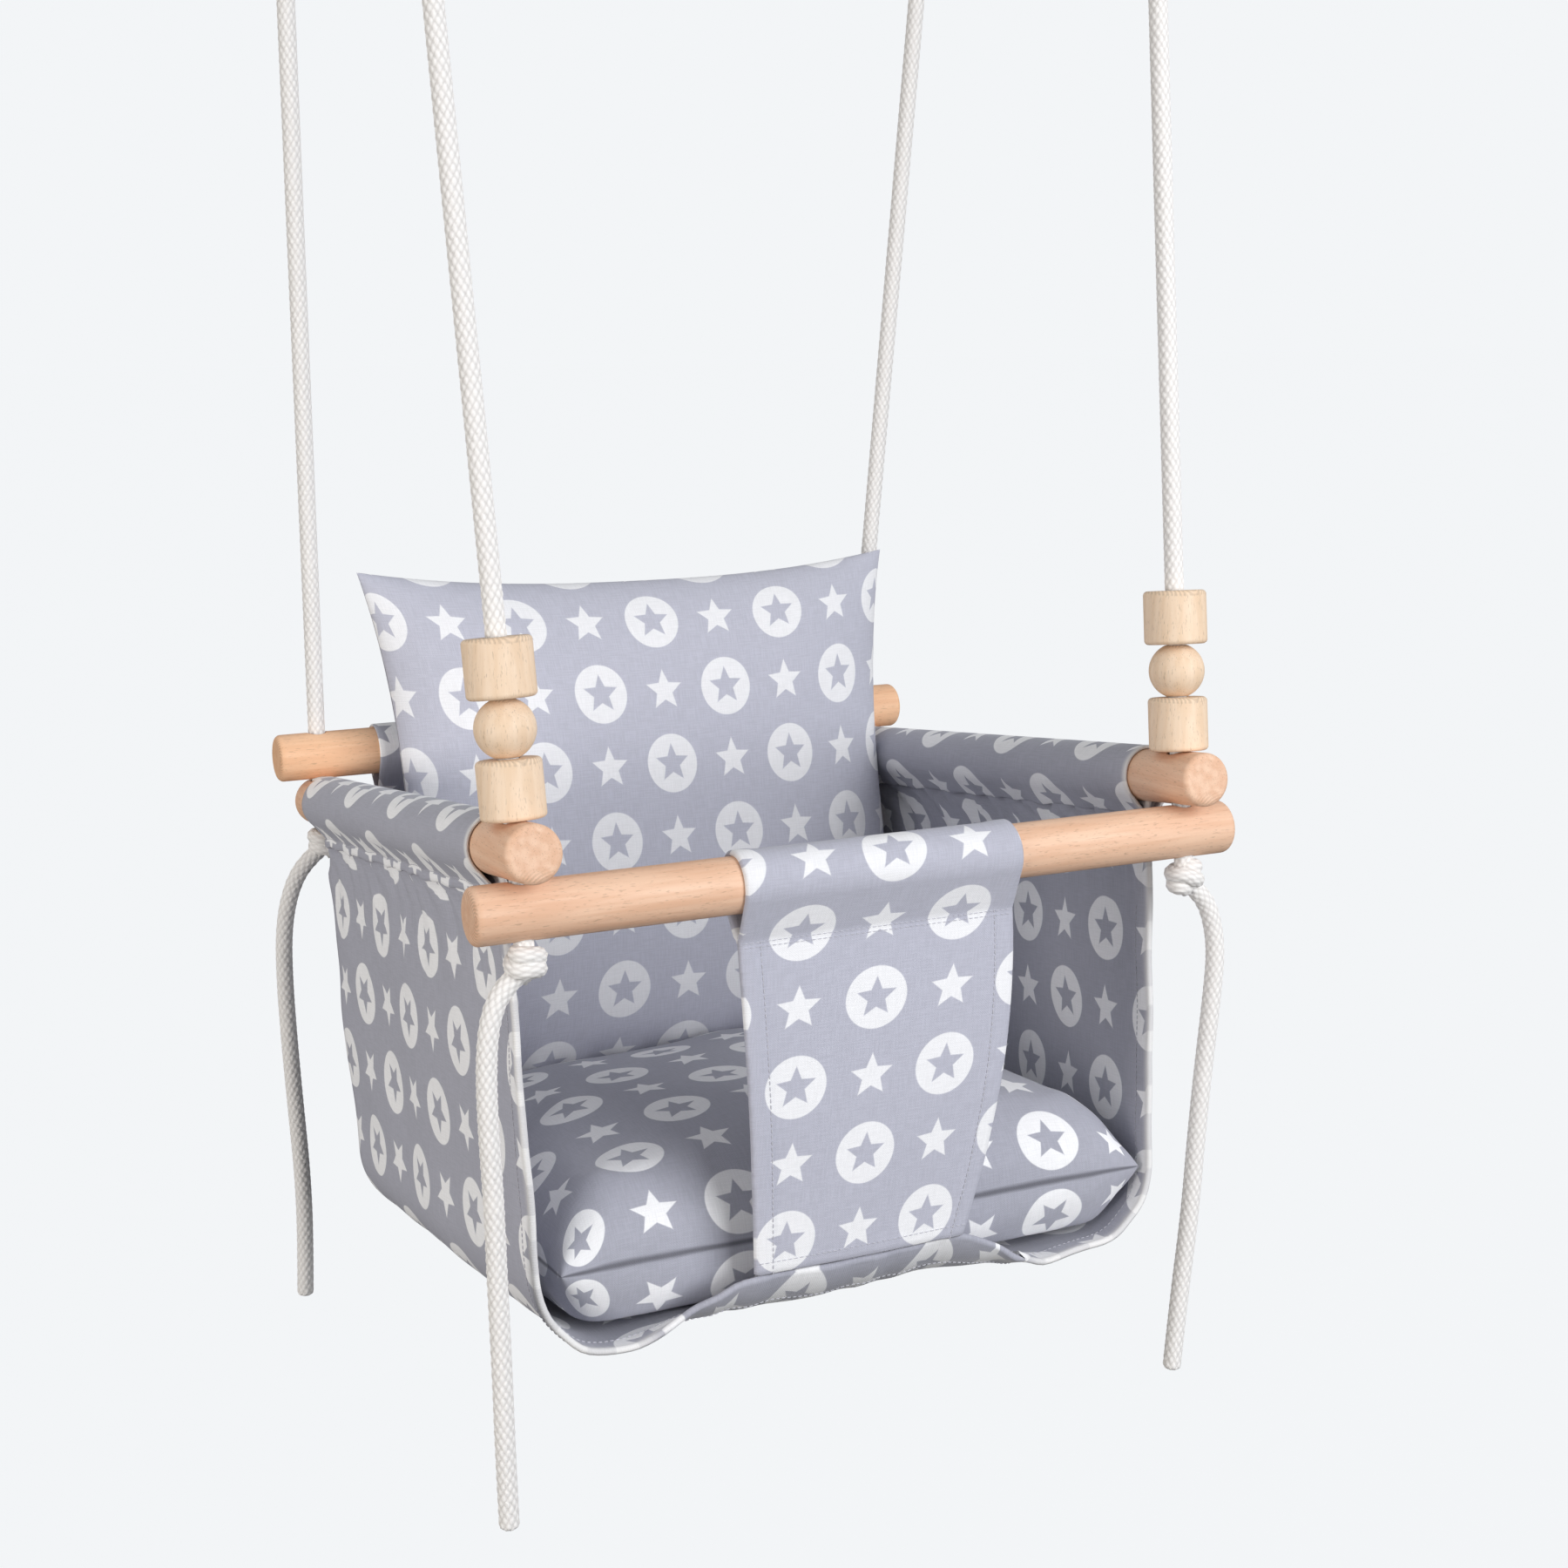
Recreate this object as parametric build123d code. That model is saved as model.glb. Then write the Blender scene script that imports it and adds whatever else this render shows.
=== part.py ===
"""Toddler bucket swing: a sewn cloth seat on four dowels, hung by four ropes.

Millimetres, +Z up. The child looks along -Y, and left and right are as seen from
the front. The origin is the middle of the four places where the ropes bear on
their rings. The seat is drawn level in its own frame, whose origin is halfway
between the side dowels, and is then tipped back a little as it hangs.
"""
import os
from math import acos, cos, pi, radians, sin, tan

from build123d import *

# dowels
DOWEL_DIAMETER = 30.0
CROSS_HOLE_SPACING = 390.0
SIDE_HOLE_SPACING = 396.0
DOWEL_OVERHANG = 27.0
SIDE_DOWEL_REAR_OVERHANG = 13.0
DOWEL_END_FILLET = 3.5

# ropes and how they hang
ROPE_DIAMETER = 10.5
HOLE_CLEARANCE = 1.25
SEAT_TILT = -7.6
HANG_HEIGHT = 560.0
MEETING_HEIGHT = 1515.0
MEETING_Y = 8.7
ROPE_SPLAY = 41.0
FLEX_GAP = 0.3
FLEX_ABOVE_BEADS = 26.0
BACK_ROPE_OFFSET = 1.1
BACK_END_GAP = 5.0
BACK_END_LIFT = 6.5

# beads on the front ropes
UPPER_BEAD_DIAMETER = 35.0
UPPER_BEAD_HEIGHT = 30.0
BALL_BEAD_DIAMETER = 31.0
BALL_BEAD_HEIGHT = 29.0
LOWER_BEAD_DIAMETER = 33.0
LOWER_BEAD_HEIGHT = 30.0
BEAD_EDGE_FILLET = 2.5
BEAD_CLEARANCE = 0.75
BEAD_GAP = 0.3

# knots, loops and rings
STOP_KNOT_DIAMETER = 24.0
STOP_KNOT_HEIGHT = 21.0
STOP_KNOT_FILLET = 7.0
LOOP_KNOT_DIAMETER = 31.0
LOOP_KNOT_HEIGHT = 27.0
LOOP_KNOT_FILLET = 5.0
LOOP_LEG = 26.0
LOOP_CLEARANCE = 0.3
RING_RADIUS = 22.0
RING_WIRE_DIAMETER = 6.0

# sewn seat
CLOTH_THICKNESS = 1.6
PANEL_THICKNESS = 3.0
SLEEVE_CLEARANCE = 0.15
STITCH_DEPTH = 30.0
SEAT_DEPTH = 264.0
SEAT_CORNER_RADIUS = 42.0
FRONT_EDGE = 30.0
SIDE_SLEEVE_BACK_GAP = 18.0
BACK_SLEEVE_END_GAP = 37.0
BACK_LEAN = 38.0
PANEL_SHOULDER = 48.0
KNOT_NOTCH = 14.0
STRAP_TOP_WIDTH = 162.0
STRAP_BOTTOM_WIDTH = 130.0
STRAP_BOTTOM_SHIFT = -8.0
LIP_RADIUS = 18.0
LIP_WIDTH = 196.0

# cushions
COVER_THICKNESS = 1.5
FILLING_LAYER = 1.5
CUSHION_SIDE_GAP = 25.0
CUSHION_LENGTH = 306.0
CUSHION_HEIGHT = 77.0
CUSHION_FRONT_GAP = 10.0
CUSHION_BOTTOM_GAP = 0.5
PILLOW_SIDE_GAP = 27.0
PILLOW_LENGTH = 330.0
PILLOW_THICKNESS = 70.0
PILLOW_LEAN = 4.0
PILLOW_BACK_GAP = 3.0
PILLOW_SHIFT = 8.0
PILLOW_SEAT_GAP = 0.5
CUSHION_FILLET = 30.0

# free ends below the stop knots, as hand-laid points from each knot's middle
TAILS = {
    "left_front_tail": [
        (-1, 0, -3), (-11, 0, -10), (-19, -1, -24), (-22, -1, -47), (-22, -1, -79),
        (-20, 0, -119), (-19, 1, -166), (-18, 1, -214), (-18, 0, -258), (-17, 0, -300),
    ],
    "right_front_tail": [
        (1, 0, -3), (10, -1, -10), (18, -1, -23), (22, -2, -45), (20, -2, -74),
        (17, -1, -110), (14, 0, -154), (11, 0, -204), (6, 1, -254), (2, 1, -300),
    ],
    "left_back_tail": [
        (-1, 0, -3), (-13, 1, -12), (-23, 2, -29), (-29, 2, -55), (-30, 2, -90),
        (-29, 1, -134), (-27, 1, -178), (-25, 0, -222), (-25, 0, -266), (-27, 0, -308),
    ],
    "right_back_tail": [
        (1, 0, -3), (12, 1, -12), (21, 2, -28), (26, 3, -54), (26, 3, -89),
        (24, 2, -131), (26, 1, -175), (26, 1, -219), (24, 0, -262), (25, 0, -303),
    ],
}
TAIL_BEND = 0.45

DOWEL_RADIUS = DOWEL_DIAMETER / 2
ROPE_RADIUS = ROPE_DIAMETER / 2
HOLE_RADIUS = ROPE_RADIUS + HOLE_CLEARANCE
HALF_CROSS = CROSS_HOLE_SPACING / 2
HALF_SIDE = SIDE_HOLE_SPACING / 2
SLEEVE_INNER = DOWEL_RADIUS + SLEEVE_CLEARANCE
SLEEVE_OUTER = SLEEVE_INNER + CLOTH_THICKNESS
HALF_PANEL = PANEL_THICKNESS / 2
FRONT_Y = FRONT_EDGE - HALF_SIDE
SIDES = {"left": -1, "right": 1}
ENDS = {"front": -1, "back": 1}


def in_world(point):
    """A point of the level seat frame, where it hangs, before the origin moves."""
    return Vector(*point).rotate(Axis.X, SEAT_TILT)


def rope_foot(side, end):
    """Where the straight part of a rope starts, in the level seat frame."""
    if end == "front":
        return (SIDES[side] * HALF_CROSS, -HALF_SIDE, 0)
    top_of_back_dowel = DOWEL_RADIUS + DOWEL_DIAMETER
    return (SIDES[side] * HALF_CROSS, HALF_SIDE + BACK_ROPE_OFFSET, top_of_back_dowel)


def bearing_in_world(side, end):
    """Where a rope's loop bears on its ring: on the line to where the ropes meet."""
    foot = in_world(rope_foot(side, end))
    meeting = Vector(SIDES[side] * (HALF_CROSS + ROPE_SPLAY), MEETING_Y, MEETING_HEIGHT)
    share = (HANG_HEIGHT - foot.Z) / (meeting.Z - foot.Z)
    return foot + (meeting - foot) * share


ORIGIN_Y = (bearing_in_world("left", "front").Y + bearing_in_world("left", "back").Y) / 2
TO_ORIGIN = Vector(0, -ORIGIN_Y, -HANG_HEIGHT)


def hang(shape):
    """Moves a seat piece from the level seat frame to where it hangs."""
    return Pos(TO_ORIGIN) * Rot(SEAT_TILT, 0, 0) * shape


def hang_point(point):
    """A point of the level seat frame, where it hangs."""
    return in_world(point) + TO_ORIGIN


def bearing(side, end):
    """A rope's bearing point on its ring."""
    return bearing_in_world(side, end) + TO_ORIGIN


def rope_direction(side, end):
    """Unit vector up a rope."""
    return (bearing(side, end) - hang_point(rope_foot(side, end))).normalized()


def rope_plane(side, end, origin):
    """A plane whose Z runs up the rope and whose X is nearly the row's X."""
    return Plane(origin=origin, x_dir=(1, 0, 0), z_dir=rope_direction(side, end))


def bead_stack():
    """Bottom of each bead and top of the stack, along the rope from the dowel's axis."""
    lower = DOWEL_RADIUS + BEAD_GAP
    ball = lower + LOWER_BEAD_HEIGHT + BEAD_GAP
    upper = ball + BALL_BEAD_HEIGHT + BEAD_GAP
    return lower, ball, upper, upper + UPPER_BEAD_HEIGHT


def flex_point(side, end):
    """Where a rope bends when the seat swings: above the beads, or at the back dowel."""
    lift = bead_stack()[3] + FLEX_ABOVE_BEADS if end == "front" else BACK_END_LIFT
    return hang_point(rope_foot(side, end)) + rope_direction(side, end) * lift


# --- dowels ---


def dowel(hole_spacing, far_overhang):
    """A dowel along X with rounded ends and a vertical rope hole near each end."""
    length = DOWEL_OVERHANG + hole_spacing + far_overhang
    rod = Pos((far_overhang - DOWEL_OVERHANG) / 2, 0, 0) * Cylinder(DOWEL_RADIUS, length, rotation=(0, 90, 0))
    rod = fillet(rod.edges().filter_by(GeomType.CIRCLE), DOWEL_END_FILLET)
    for x in (-hole_spacing / 2, hole_spacing / 2):
        rod -= Pos(x, 0, 0) * Cylinder(HOLE_RADIUS, 2 * DOWEL_DIAMETER)
    return rod


def dowels():
    """Two side dowels, a front dowel below them and a back dowel on top of them."""
    cross = dowel(CROSS_HOLE_SPACING, DOWEL_OVERHANG)
    side = Rot(0, 0, 90) * dowel(SIDE_HOLE_SPACING, SIDE_DOWEL_REAR_OVERHANG)
    return {
        "left_side_dowel": hang(Pos(-HALF_CROSS, 0, 0) * side),
        "right_side_dowel": hang(Pos(HALF_CROSS, 0, 0) * side),
        "front_dowel": hang(Pos(0, -HALF_SIDE, -DOWEL_DIAMETER) * cross),
        "back_dowel": hang(Pos(0, HALF_SIDE, DOWEL_DIAMETER) * cross),
    }


# --- beads ---


def cylinder_bead(diameter, height):
    """A drum bead standing on its bottom face."""
    align = (Align.CENTER, Align.CENTER, Align.MIN)
    drum = Cylinder(diameter / 2, height, align=align)
    drum = fillet(drum.edges().filter_by(GeomType.CIRCLE), BEAD_EDGE_FILLET)
    return drum - Cylinder(ROPE_RADIUS + BEAD_CLEARANCE, height, align=align)


def ball_bead():
    """A ball bead with flats where its bore comes out, standing on the lower flat."""
    ball = Sphere(BALL_BEAD_DIAMETER / 2)
    ball &= Box(2 * BALL_BEAD_DIAMETER, 2 * BALL_BEAD_DIAMETER, BALL_BEAD_HEIGHT)
    ball -= Cylinder(ROPE_RADIUS + BEAD_CLEARANCE, BALL_BEAD_DIAMETER)
    return Pos(0, 0, BALL_BEAD_HEIGHT / 2) * ball


def beads():
    """Drum, ball and drum on each front rope, resting on the side dowel."""
    lower, ball, upper, _ = bead_stack()
    pieces = {}
    for side in SIDES:
        foot = hang_point(rope_foot(side, "front"))
        up = rope_direction(side, "front")
        stack = {
            "lower_bead": (lower, cylinder_bead(LOWER_BEAD_DIAMETER, LOWER_BEAD_HEIGHT)),
            "ball_bead": (ball, ball_bead()),
            "upper_bead": (upper, cylinder_bead(UPPER_BEAD_DIAMETER, UPPER_BEAD_HEIGHT)),
        }
        for name, (height, bead) in stack.items():
            place = rope_plane(side, "front", foot + up * height)
            pieces[f"{side}_{name}"] = place.location * bead
    return pieces


# --- ropes ---


def tube(path):
    """A round rope along a path."""
    start = Plane(origin=path @ 0, z_dir=path % 0)
    return sweep(start * Circle(ROPE_RADIUS), path=path)


def rope_run(start, stop):
    """A straight taut rope."""
    return tube(Edge.make_line(start, stop))


def upper_rope(side, end):
    """The taut rope from its flex point, where it ends in a ball, up to the loop knot."""
    flex = flex_point(side, end)
    knot_bottom = LOOP_LEG + LOOP_KNOT_HEIGHT
    length = (bearing(side, end) - flex).length - knot_bottom
    rounded = ThreePointArc(
        (0, -ROPE_RADIUS), (ROPE_RADIUS * sin(pi / 4), -ROPE_RADIUS * cos(pi / 4)), (ROPE_RADIUS, 0)
    )
    outside = Polyline((ROPE_RADIUS, 0), (ROPE_RADIUS, length), (0, length), (0, -ROPE_RADIUS))
    half_section = Plane.XZ * make_face([rounded.edge(), *outside.edges()])
    return rope_plane(side, end, flex).location * revolve(half_section, Axis.Z)


def front_lower_rope(side):
    """From the stop knot up through both dowels and the beads, cupped for the rope above."""
    foot = hang_point(rope_foot(side, "front"))
    knot_top = DOWEL_RADIUS + DOWEL_DIAMETER + BEAD_GAP
    bottom = hang_point((SIDES[side] * HALF_CROSS, -HALF_SIDE, -knot_top))
    flex = flex_point(side, "front")
    path = FilletPolyline(bottom, foot, flex, radius=bend_radii([bottom, foot, flex]))
    return tube(path) - Pos(flex) * Sphere(ROPE_RADIUS + FLEX_GAP)


def back_lower_rope(side):
    """From the stop knot up inside the side and back dowels, just short of the rope above."""
    x = SIDES[side] * HALF_CROSS
    bottom = hang_point((x, HALF_SIDE, -DOWEL_RADIUS - BEAD_GAP))
    rope_end = DOWEL_RADIUS + DOWEL_DIAMETER + BACK_END_LIFT - ROPE_RADIUS - BACK_END_GAP
    return rope_run(bottom, hang_point((x, HALF_SIDE, rope_end)))


def rope_loop(side, end):
    """The loop over the ring's wire: two legs and a half turn."""
    radius = RING_WIRE_DIAMETER / 2 + ROPE_RADIUS + LOOP_CLEARANCE
    legs = [
        Line((0, -radius, -LOOP_LEG), (0, -radius, 0)),
        Line((0, radius, 0), (0, radius, -LOOP_LEG)),
    ]
    arch = ThreePointArc((0, -radius, 0), (0, 0, radius), (0, radius, 0))
    path = Wire([legs[0].edge(), arch.edge(), legs[1].edge()])
    return rope_plane(side, end, bearing(side, end)).location * tube(path)


def knot(diameter, height, edge):
    """A knot as a rounded barrel, hanging from its top face."""
    barrel = Cylinder(diameter / 2, height, align=(Align.CENTER, Align.CENTER, Align.MAX))
    return fillet(barrel.edges().filter_by(GeomType.CIRCLE), edge)


def loop_knot(side, end):
    """The knot below a loop."""
    top = bearing(side, end) - rope_direction(side, end) * LOOP_LEG
    barrel = knot(LOOP_KNOT_DIAMETER, LOOP_KNOT_HEIGHT, LOOP_KNOT_FILLET)
    return rope_plane(side, end, top).location * barrel


def stop_knot_top(side, end):
    """Top of the knot under a corner, in the level seat frame."""
    below = DOWEL_RADIUS + (DOWEL_DIAMETER if end == "front" else 0) + BEAD_GAP
    return (SIDES[side] * HALF_CROSS, ENDS[end] * HALF_SIDE, -below)


def stop_knot(side, end):
    """The knot that carries a corner of the seat."""
    barrel = knot(STOP_KNOT_DIAMETER, STOP_KNOT_HEIGHT, STOP_KNOT_FILLET)
    return hang(Pos(*stop_knot_top(side, end)) * barrel)


def bend_radii(points):
    """The largest arc that each corner of a route allows."""
    radii = []
    for before, corner, after in zip(points, points[1:], points[2:]):
        run = min((corner - before).length, (after - corner).length)
        turn = (corner - before).get_angle(after - corner)
        radii.append(TAIL_BEND * run / tan(radians(turn) / 2))
    return radii


def tail(side, end):
    """A free rope end that hangs from its stop knot."""
    name = f"{side}_{end}_tail"
    x, y, z = stop_knot_top(side, end)
    middle = hang_point((x, y, z - STOP_KNOT_HEIGHT / 2))
    points = [middle + Vector(*offset) for offset in TAILS[name]]
    radii = bend_radii(points)
    path = FilletPolyline(*points, radius=radii)
    rope = tube(path)
    section = Circle(ROPE_RADIUS).area
    print(name, "length", round(path.length, 1), "least radius", round(min(radii), 1))
    print(name, "volume over section and length", round(rope.volume / section / path.length, 4))
    return rope


def ring(side, end):
    """A welded steel ring; the loop bears on the bottom of its wire."""
    place = bearing(side, end) + Vector(0, 0, RING_RADIUS)
    return Pos(place) * Torus(RING_RADIUS, RING_WIRE_DIAMETER / 2, rotation=(90, 0, 0))


def ropes():
    """Rings, loops, ropes, knots and free ends of all four corners."""
    pieces = {}
    for side in SIDES:
        for end in ENDS:
            corner = f"{side}_{end}"
            pieces[f"{corner}_ring"] = ring(side, end)
            pieces[f"{corner}_rope_loop"] = rope_loop(side, end)
            pieces[f"{corner}_loop_knot"] = loop_knot(side, end)
            pieces[f"{corner}_rope"] = upper_rope(side, end)
            pieces[f"{corner}_stop_knot"] = stop_knot(side, end)
            pieces[f"{corner}_tail"] = tail(side, end)
        pieces[f"{side}_front_lower_rope"] = front_lower_rope(side)
        pieces[f"{side}_back_lower_rope"] = back_lower_rope(side)
    return pieces


# --- sewn seat, in the level seat frame ---


def sleeve(length):
    """A sewn channel round a dowel along Y, closed by its stitch line below."""
    touch = acos((SLEEVE_OUTER - HALF_PANEL) / STITCH_DEPTH)
    touch_x = SLEEVE_OUTER * sin(touch)
    touch_z = -SLEEVE_OUTER * cos(touch)
    drop = Polygon(
        (touch_x, touch_z), (-touch_x, touch_z),
        (-HALF_PANEL, -STITCH_DEPTH), (HALF_PANEL, -STITCH_DEPTH),
        align=None,
    )
    section = Circle(SLEEVE_OUTER) + drop - Circle(SLEEVE_INNER)
    return extrude(Plane.XZ * section, length / 2, both=True)


def back_y(z):
    """Middle of the leaning back panel at a height."""
    return HALF_SIDE + BACK_LEAN * z / SEAT_DEPTH


def side_panel():
    """A flat side from the sleeve's stitch line down to the rounded corner."""
    foot = SEAT_CORNER_RADIUS - SEAT_DEPTH
    notch = -STITCH_DEPTH - KNOT_NOTCH
    outline = Polygon(
        (FRONT_Y, -STITCH_DEPTH), (HALF_SIDE - SIDE_SLEEVE_BACK_GAP, -STITCH_DEPTH),
        (back_y(notch) + HALF_PANEL, notch), (back_y(foot) + HALF_PANEL, foot), (FRONT_Y, foot),
        align=None,
    )
    return extrude(Plane.YZ * outline, HALF_PANEL, both=True)


def hollow_outline(inset):
    """The seat's cross-section, open at the top, drawn this far inside its outer face."""
    half = HALF_CROSS + HALF_PANEL - inset
    floor = inset - SEAT_DEPTH
    radius = SEAT_CORNER_RADIUS - inset
    box = Polygon((-half, 0), (half, 0), (half, floor), (-half, floor), align=None)
    corners = box.vertices().sort_by(Axis.Y)[:2]
    return fillet(corners, radius)


def seat_bottom():
    """The rounded bottom with its turned-up lip, where the strap is sewn on."""
    shell = hollow_outline(0) - hollow_outline(PANEL_THICKNESS)
    reach = back_y(0) - FRONT_Y
    trough = Pos(0, FRONT_Y, 0) * extrude(Plane.XZ * shell, reach, dir=(0, 1, 0))
    foot = SEAT_CORNER_RADIUS - SEAT_DEPTH
    below = (Align.CENTER, Align.CENTER, Align.MAX)
    trough &= Pos(0, 0, foot) * Box(2 * CROSS_HOLE_SPACING, 4 * reach, SEAT_DEPTH, align=below)
    trough -= back_slab_from(HALF_PANEL, reach)
    trough -= Pos(0, FRONT_Y, -SEAT_DEPTH) * Box(LIP_WIDTH, 2 * LIP_RADIUS, 2 * LIP_RADIUS)
    return trough + front_lip()


def front_lip():
    """The front edge of the bottom, pulled up by the strap."""
    centre = (FRONT_Y + LIP_RADIUS, LIP_RADIUS - SEAT_DEPTH)
    band = Circle(LIP_RADIUS) - Circle(LIP_RADIUS - PANEL_THICKNESS)
    quarter = band & Pos(-LIP_RADIUS / 2, -LIP_RADIUS / 2) * Rectangle(LIP_RADIUS, LIP_RADIUS)
    return extrude(Plane.YZ * (Pos(*centre) * quarter), LIP_WIDTH / 2, both=True)


def back_slab_from(offset, thickness):
    """A wide leaning slab that starts this far behind the back panel's middle."""
    lean = Vector(0, BACK_LEAN, SEAT_DEPTH).normalized()
    plane = Plane(origin=(0, HALF_SIDE, 0), x_dir=(1, 0, 0), z_dir=lean)
    align = (Align.CENTER, Align.MIN, Align.CENTER)
    slab = Pos(0, offset, 0) * Box(2 * CROSS_HOLE_SPACING, thickness, 4 * SEAT_DEPTH, align=align)
    return plane.location * slab


def back_panel():
    """The leaning back, narrow between the side dowels and full width below them."""
    shoulder = HALF_CROSS - BACK_SLEEVE_END_GAP
    cheek = HALF_CROSS
    depth = 2 * BACK_LEAN + PANEL_THICKNESS
    outline = hollow_outline(PANEL_THICKNESS)
    for side in (-1, 1):
        outline -= Polygon(
            (side * shoulder, 1), (side * 2 * cheek, 1), (side * 2 * cheek, -PANEL_SHOULDER),
            (side * cheek, -PANEL_SHOULDER), (side * shoulder, -DOWEL_RADIUS),
            align=None,
        )
    block = Pos(0, HALF_SIDE, 0) * extrude(Plane.XZ * outline, depth, both=True)
    return block & back_slab_from(-HALF_PANEL, PANEL_THICKNESS)


def crotch_strap():
    """The tapering strap from the front sleeve's stitch line down to the lip."""
    top_z = -DOWEL_DIAMETER - STITCH_DEPTH
    bottom_z = LIP_RADIUS - SEAT_DEPTH
    top_y = -HALF_SIDE
    bottom_y = FRONT_Y + HALF_PANEL
    low, high = STRAP_BOTTOM_WIDTH / 2, STRAP_TOP_WIDTH / 2
    outline = Polygon(
        (-high, top_z), (high, top_z),
        (STRAP_BOTTOM_SHIFT + low, bottom_z), (STRAP_BOTTOM_SHIFT - low, bottom_z),
        align=None,
    )
    side_view = Polygon(
        (top_y - HALF_PANEL, top_z), (top_y + HALF_PANEL, top_z),
        (bottom_y + HALF_PANEL, bottom_z), (bottom_y - HALF_PANEL, bottom_z),
        align=None,
    )
    front = Pos(0, top_y, 0) * extrude(Plane.XZ * outline, SEAT_DEPTH, both=True)
    return front & extrude(Plane.YZ * side_view, STRAP_TOP_WIDTH, both=True)


def sewn_seat():
    """Every cut piece of the cloth seat."""
    sleeve_back = HALF_SIDE - SIDE_SLEEVE_BACK_GAP
    side_length = sleeve_back - FRONT_Y
    side_middle = (sleeve_back + FRONT_Y) / 2
    cross_turn = Rot(0, 0, 90)
    back_length = CROSS_HOLE_SPACING - 2 * BACK_SLEEVE_END_GAP
    level = {
        "left_sleeve": Pos(-HALF_CROSS, side_middle, 0) * sleeve(side_length),
        "right_sleeve": Pos(HALF_CROSS, side_middle, 0) * sleeve(side_length),
        "back_sleeve": Pos(0, HALF_SIDE, DOWEL_DIAMETER) * cross_turn * sleeve(back_length),
        "strap_sleeve": Pos(0, -HALF_SIDE, -DOWEL_DIAMETER) * cross_turn * sleeve(STRAP_TOP_WIDTH),
        "left_side_panel": Pos(-HALF_CROSS, 0, 0) * side_panel(),
        "right_side_panel": Pos(HALF_CROSS, 0, 0) * side_panel(),
        "seat_bottom": seat_bottom(),
        "back_panel": back_panel(),
        "crotch_strap": crotch_strap(),
    }
    return {name: hang(piece) for name, piece in level.items()}


# --- cushions, in the level seat frame ---


def rounded_block(width, length, height, inset):
    """A plump block, or its filling when drawn inside the cover."""
    block = Box(width - 2 * inset, length - 2 * inset, height - 2 * inset)
    return fillet(block.edges(), CUSHION_FILLET - inset)


def cushions():
    """The flat seat cushion and the leaning back pillow, each a cover and its filling.

    The filling is a layer inside the cover, with the mass of the loose wadding.
    """
    floor = PANEL_THICKNESS + CUSHION_BOTTOM_GAP - SEAT_DEPTH
    cushion_place = Pos(0, FRONT_Y + CUSHION_FRONT_GAP + CUSHION_LENGTH / 2, floor + CUSHION_HEIGHT / 2)
    pillow_foot = floor + CUSHION_HEIGHT + PILLOW_SEAT_GAP
    pillow_middle_z = pillow_foot + PILLOW_LENGTH / 2 * cos(radians(PILLOW_LEAN))
    sleeve_front = HALF_SIDE - SLEEVE_OUTER - PILLOW_BACK_GAP
    half_along_y = PILLOW_THICKNESS / 2 / cos(radians(PILLOW_LEAN))
    above_dowel = pillow_middle_z - DOWEL_DIAMETER
    pillow_middle_y = sleeve_front - half_along_y + above_dowel * tan(radians(PILLOW_LEAN))
    pillow_place = Pos(PILLOW_SHIFT, pillow_middle_y, pillow_middle_z) * Rot(-PILLOW_LEAN, 0, 0)
    cushion_width = CROSS_HOLE_SPACING - 2 * CUSHION_SIDE_GAP
    pillow_width = CROSS_HOLE_SPACING - 2 * PILLOW_SIDE_GAP
    blocks = {
        "seat_cushion": (cushion_place, (cushion_width, CUSHION_LENGTH, CUSHION_HEIGHT)),
        "back_pillow": (pillow_place, (pillow_width, PILLOW_THICKNESS, PILLOW_LENGTH)),
    }
    pieces = {}
    for name, (place, size) in blocks.items():
        inside = rounded_block(*size, COVER_THICKNESS)
        cover = rounded_block(*size, 0) - inside
        filling = inside - rounded_block(*size, COVER_THICKNESS + FILLING_LAYER)
        pieces[f"{name}_cover"] = hang(place * cover)
        pieces[f"{name}_filling"] = hang(place * filling)
    return pieces


def write_parts():
    """Writes every piece to its own STEP file."""
    os.makedirs("parts", exist_ok=True)
    for name, piece in {**dowels(), **beads(), **ropes(), **sewn_seat(), **cushions()}.items():
        export_step(piece, f"parts/{name}.step")
    for end in ENDS:
        print(end, "bearing", bearing("right", end), "flex", flex_point("right", end))
        print(end, "rope up", rope_direction("right", end))


write_parts()
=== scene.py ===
import math

import bpy
import numpy as np
from mathutils import Matrix, Vector, noise


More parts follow.
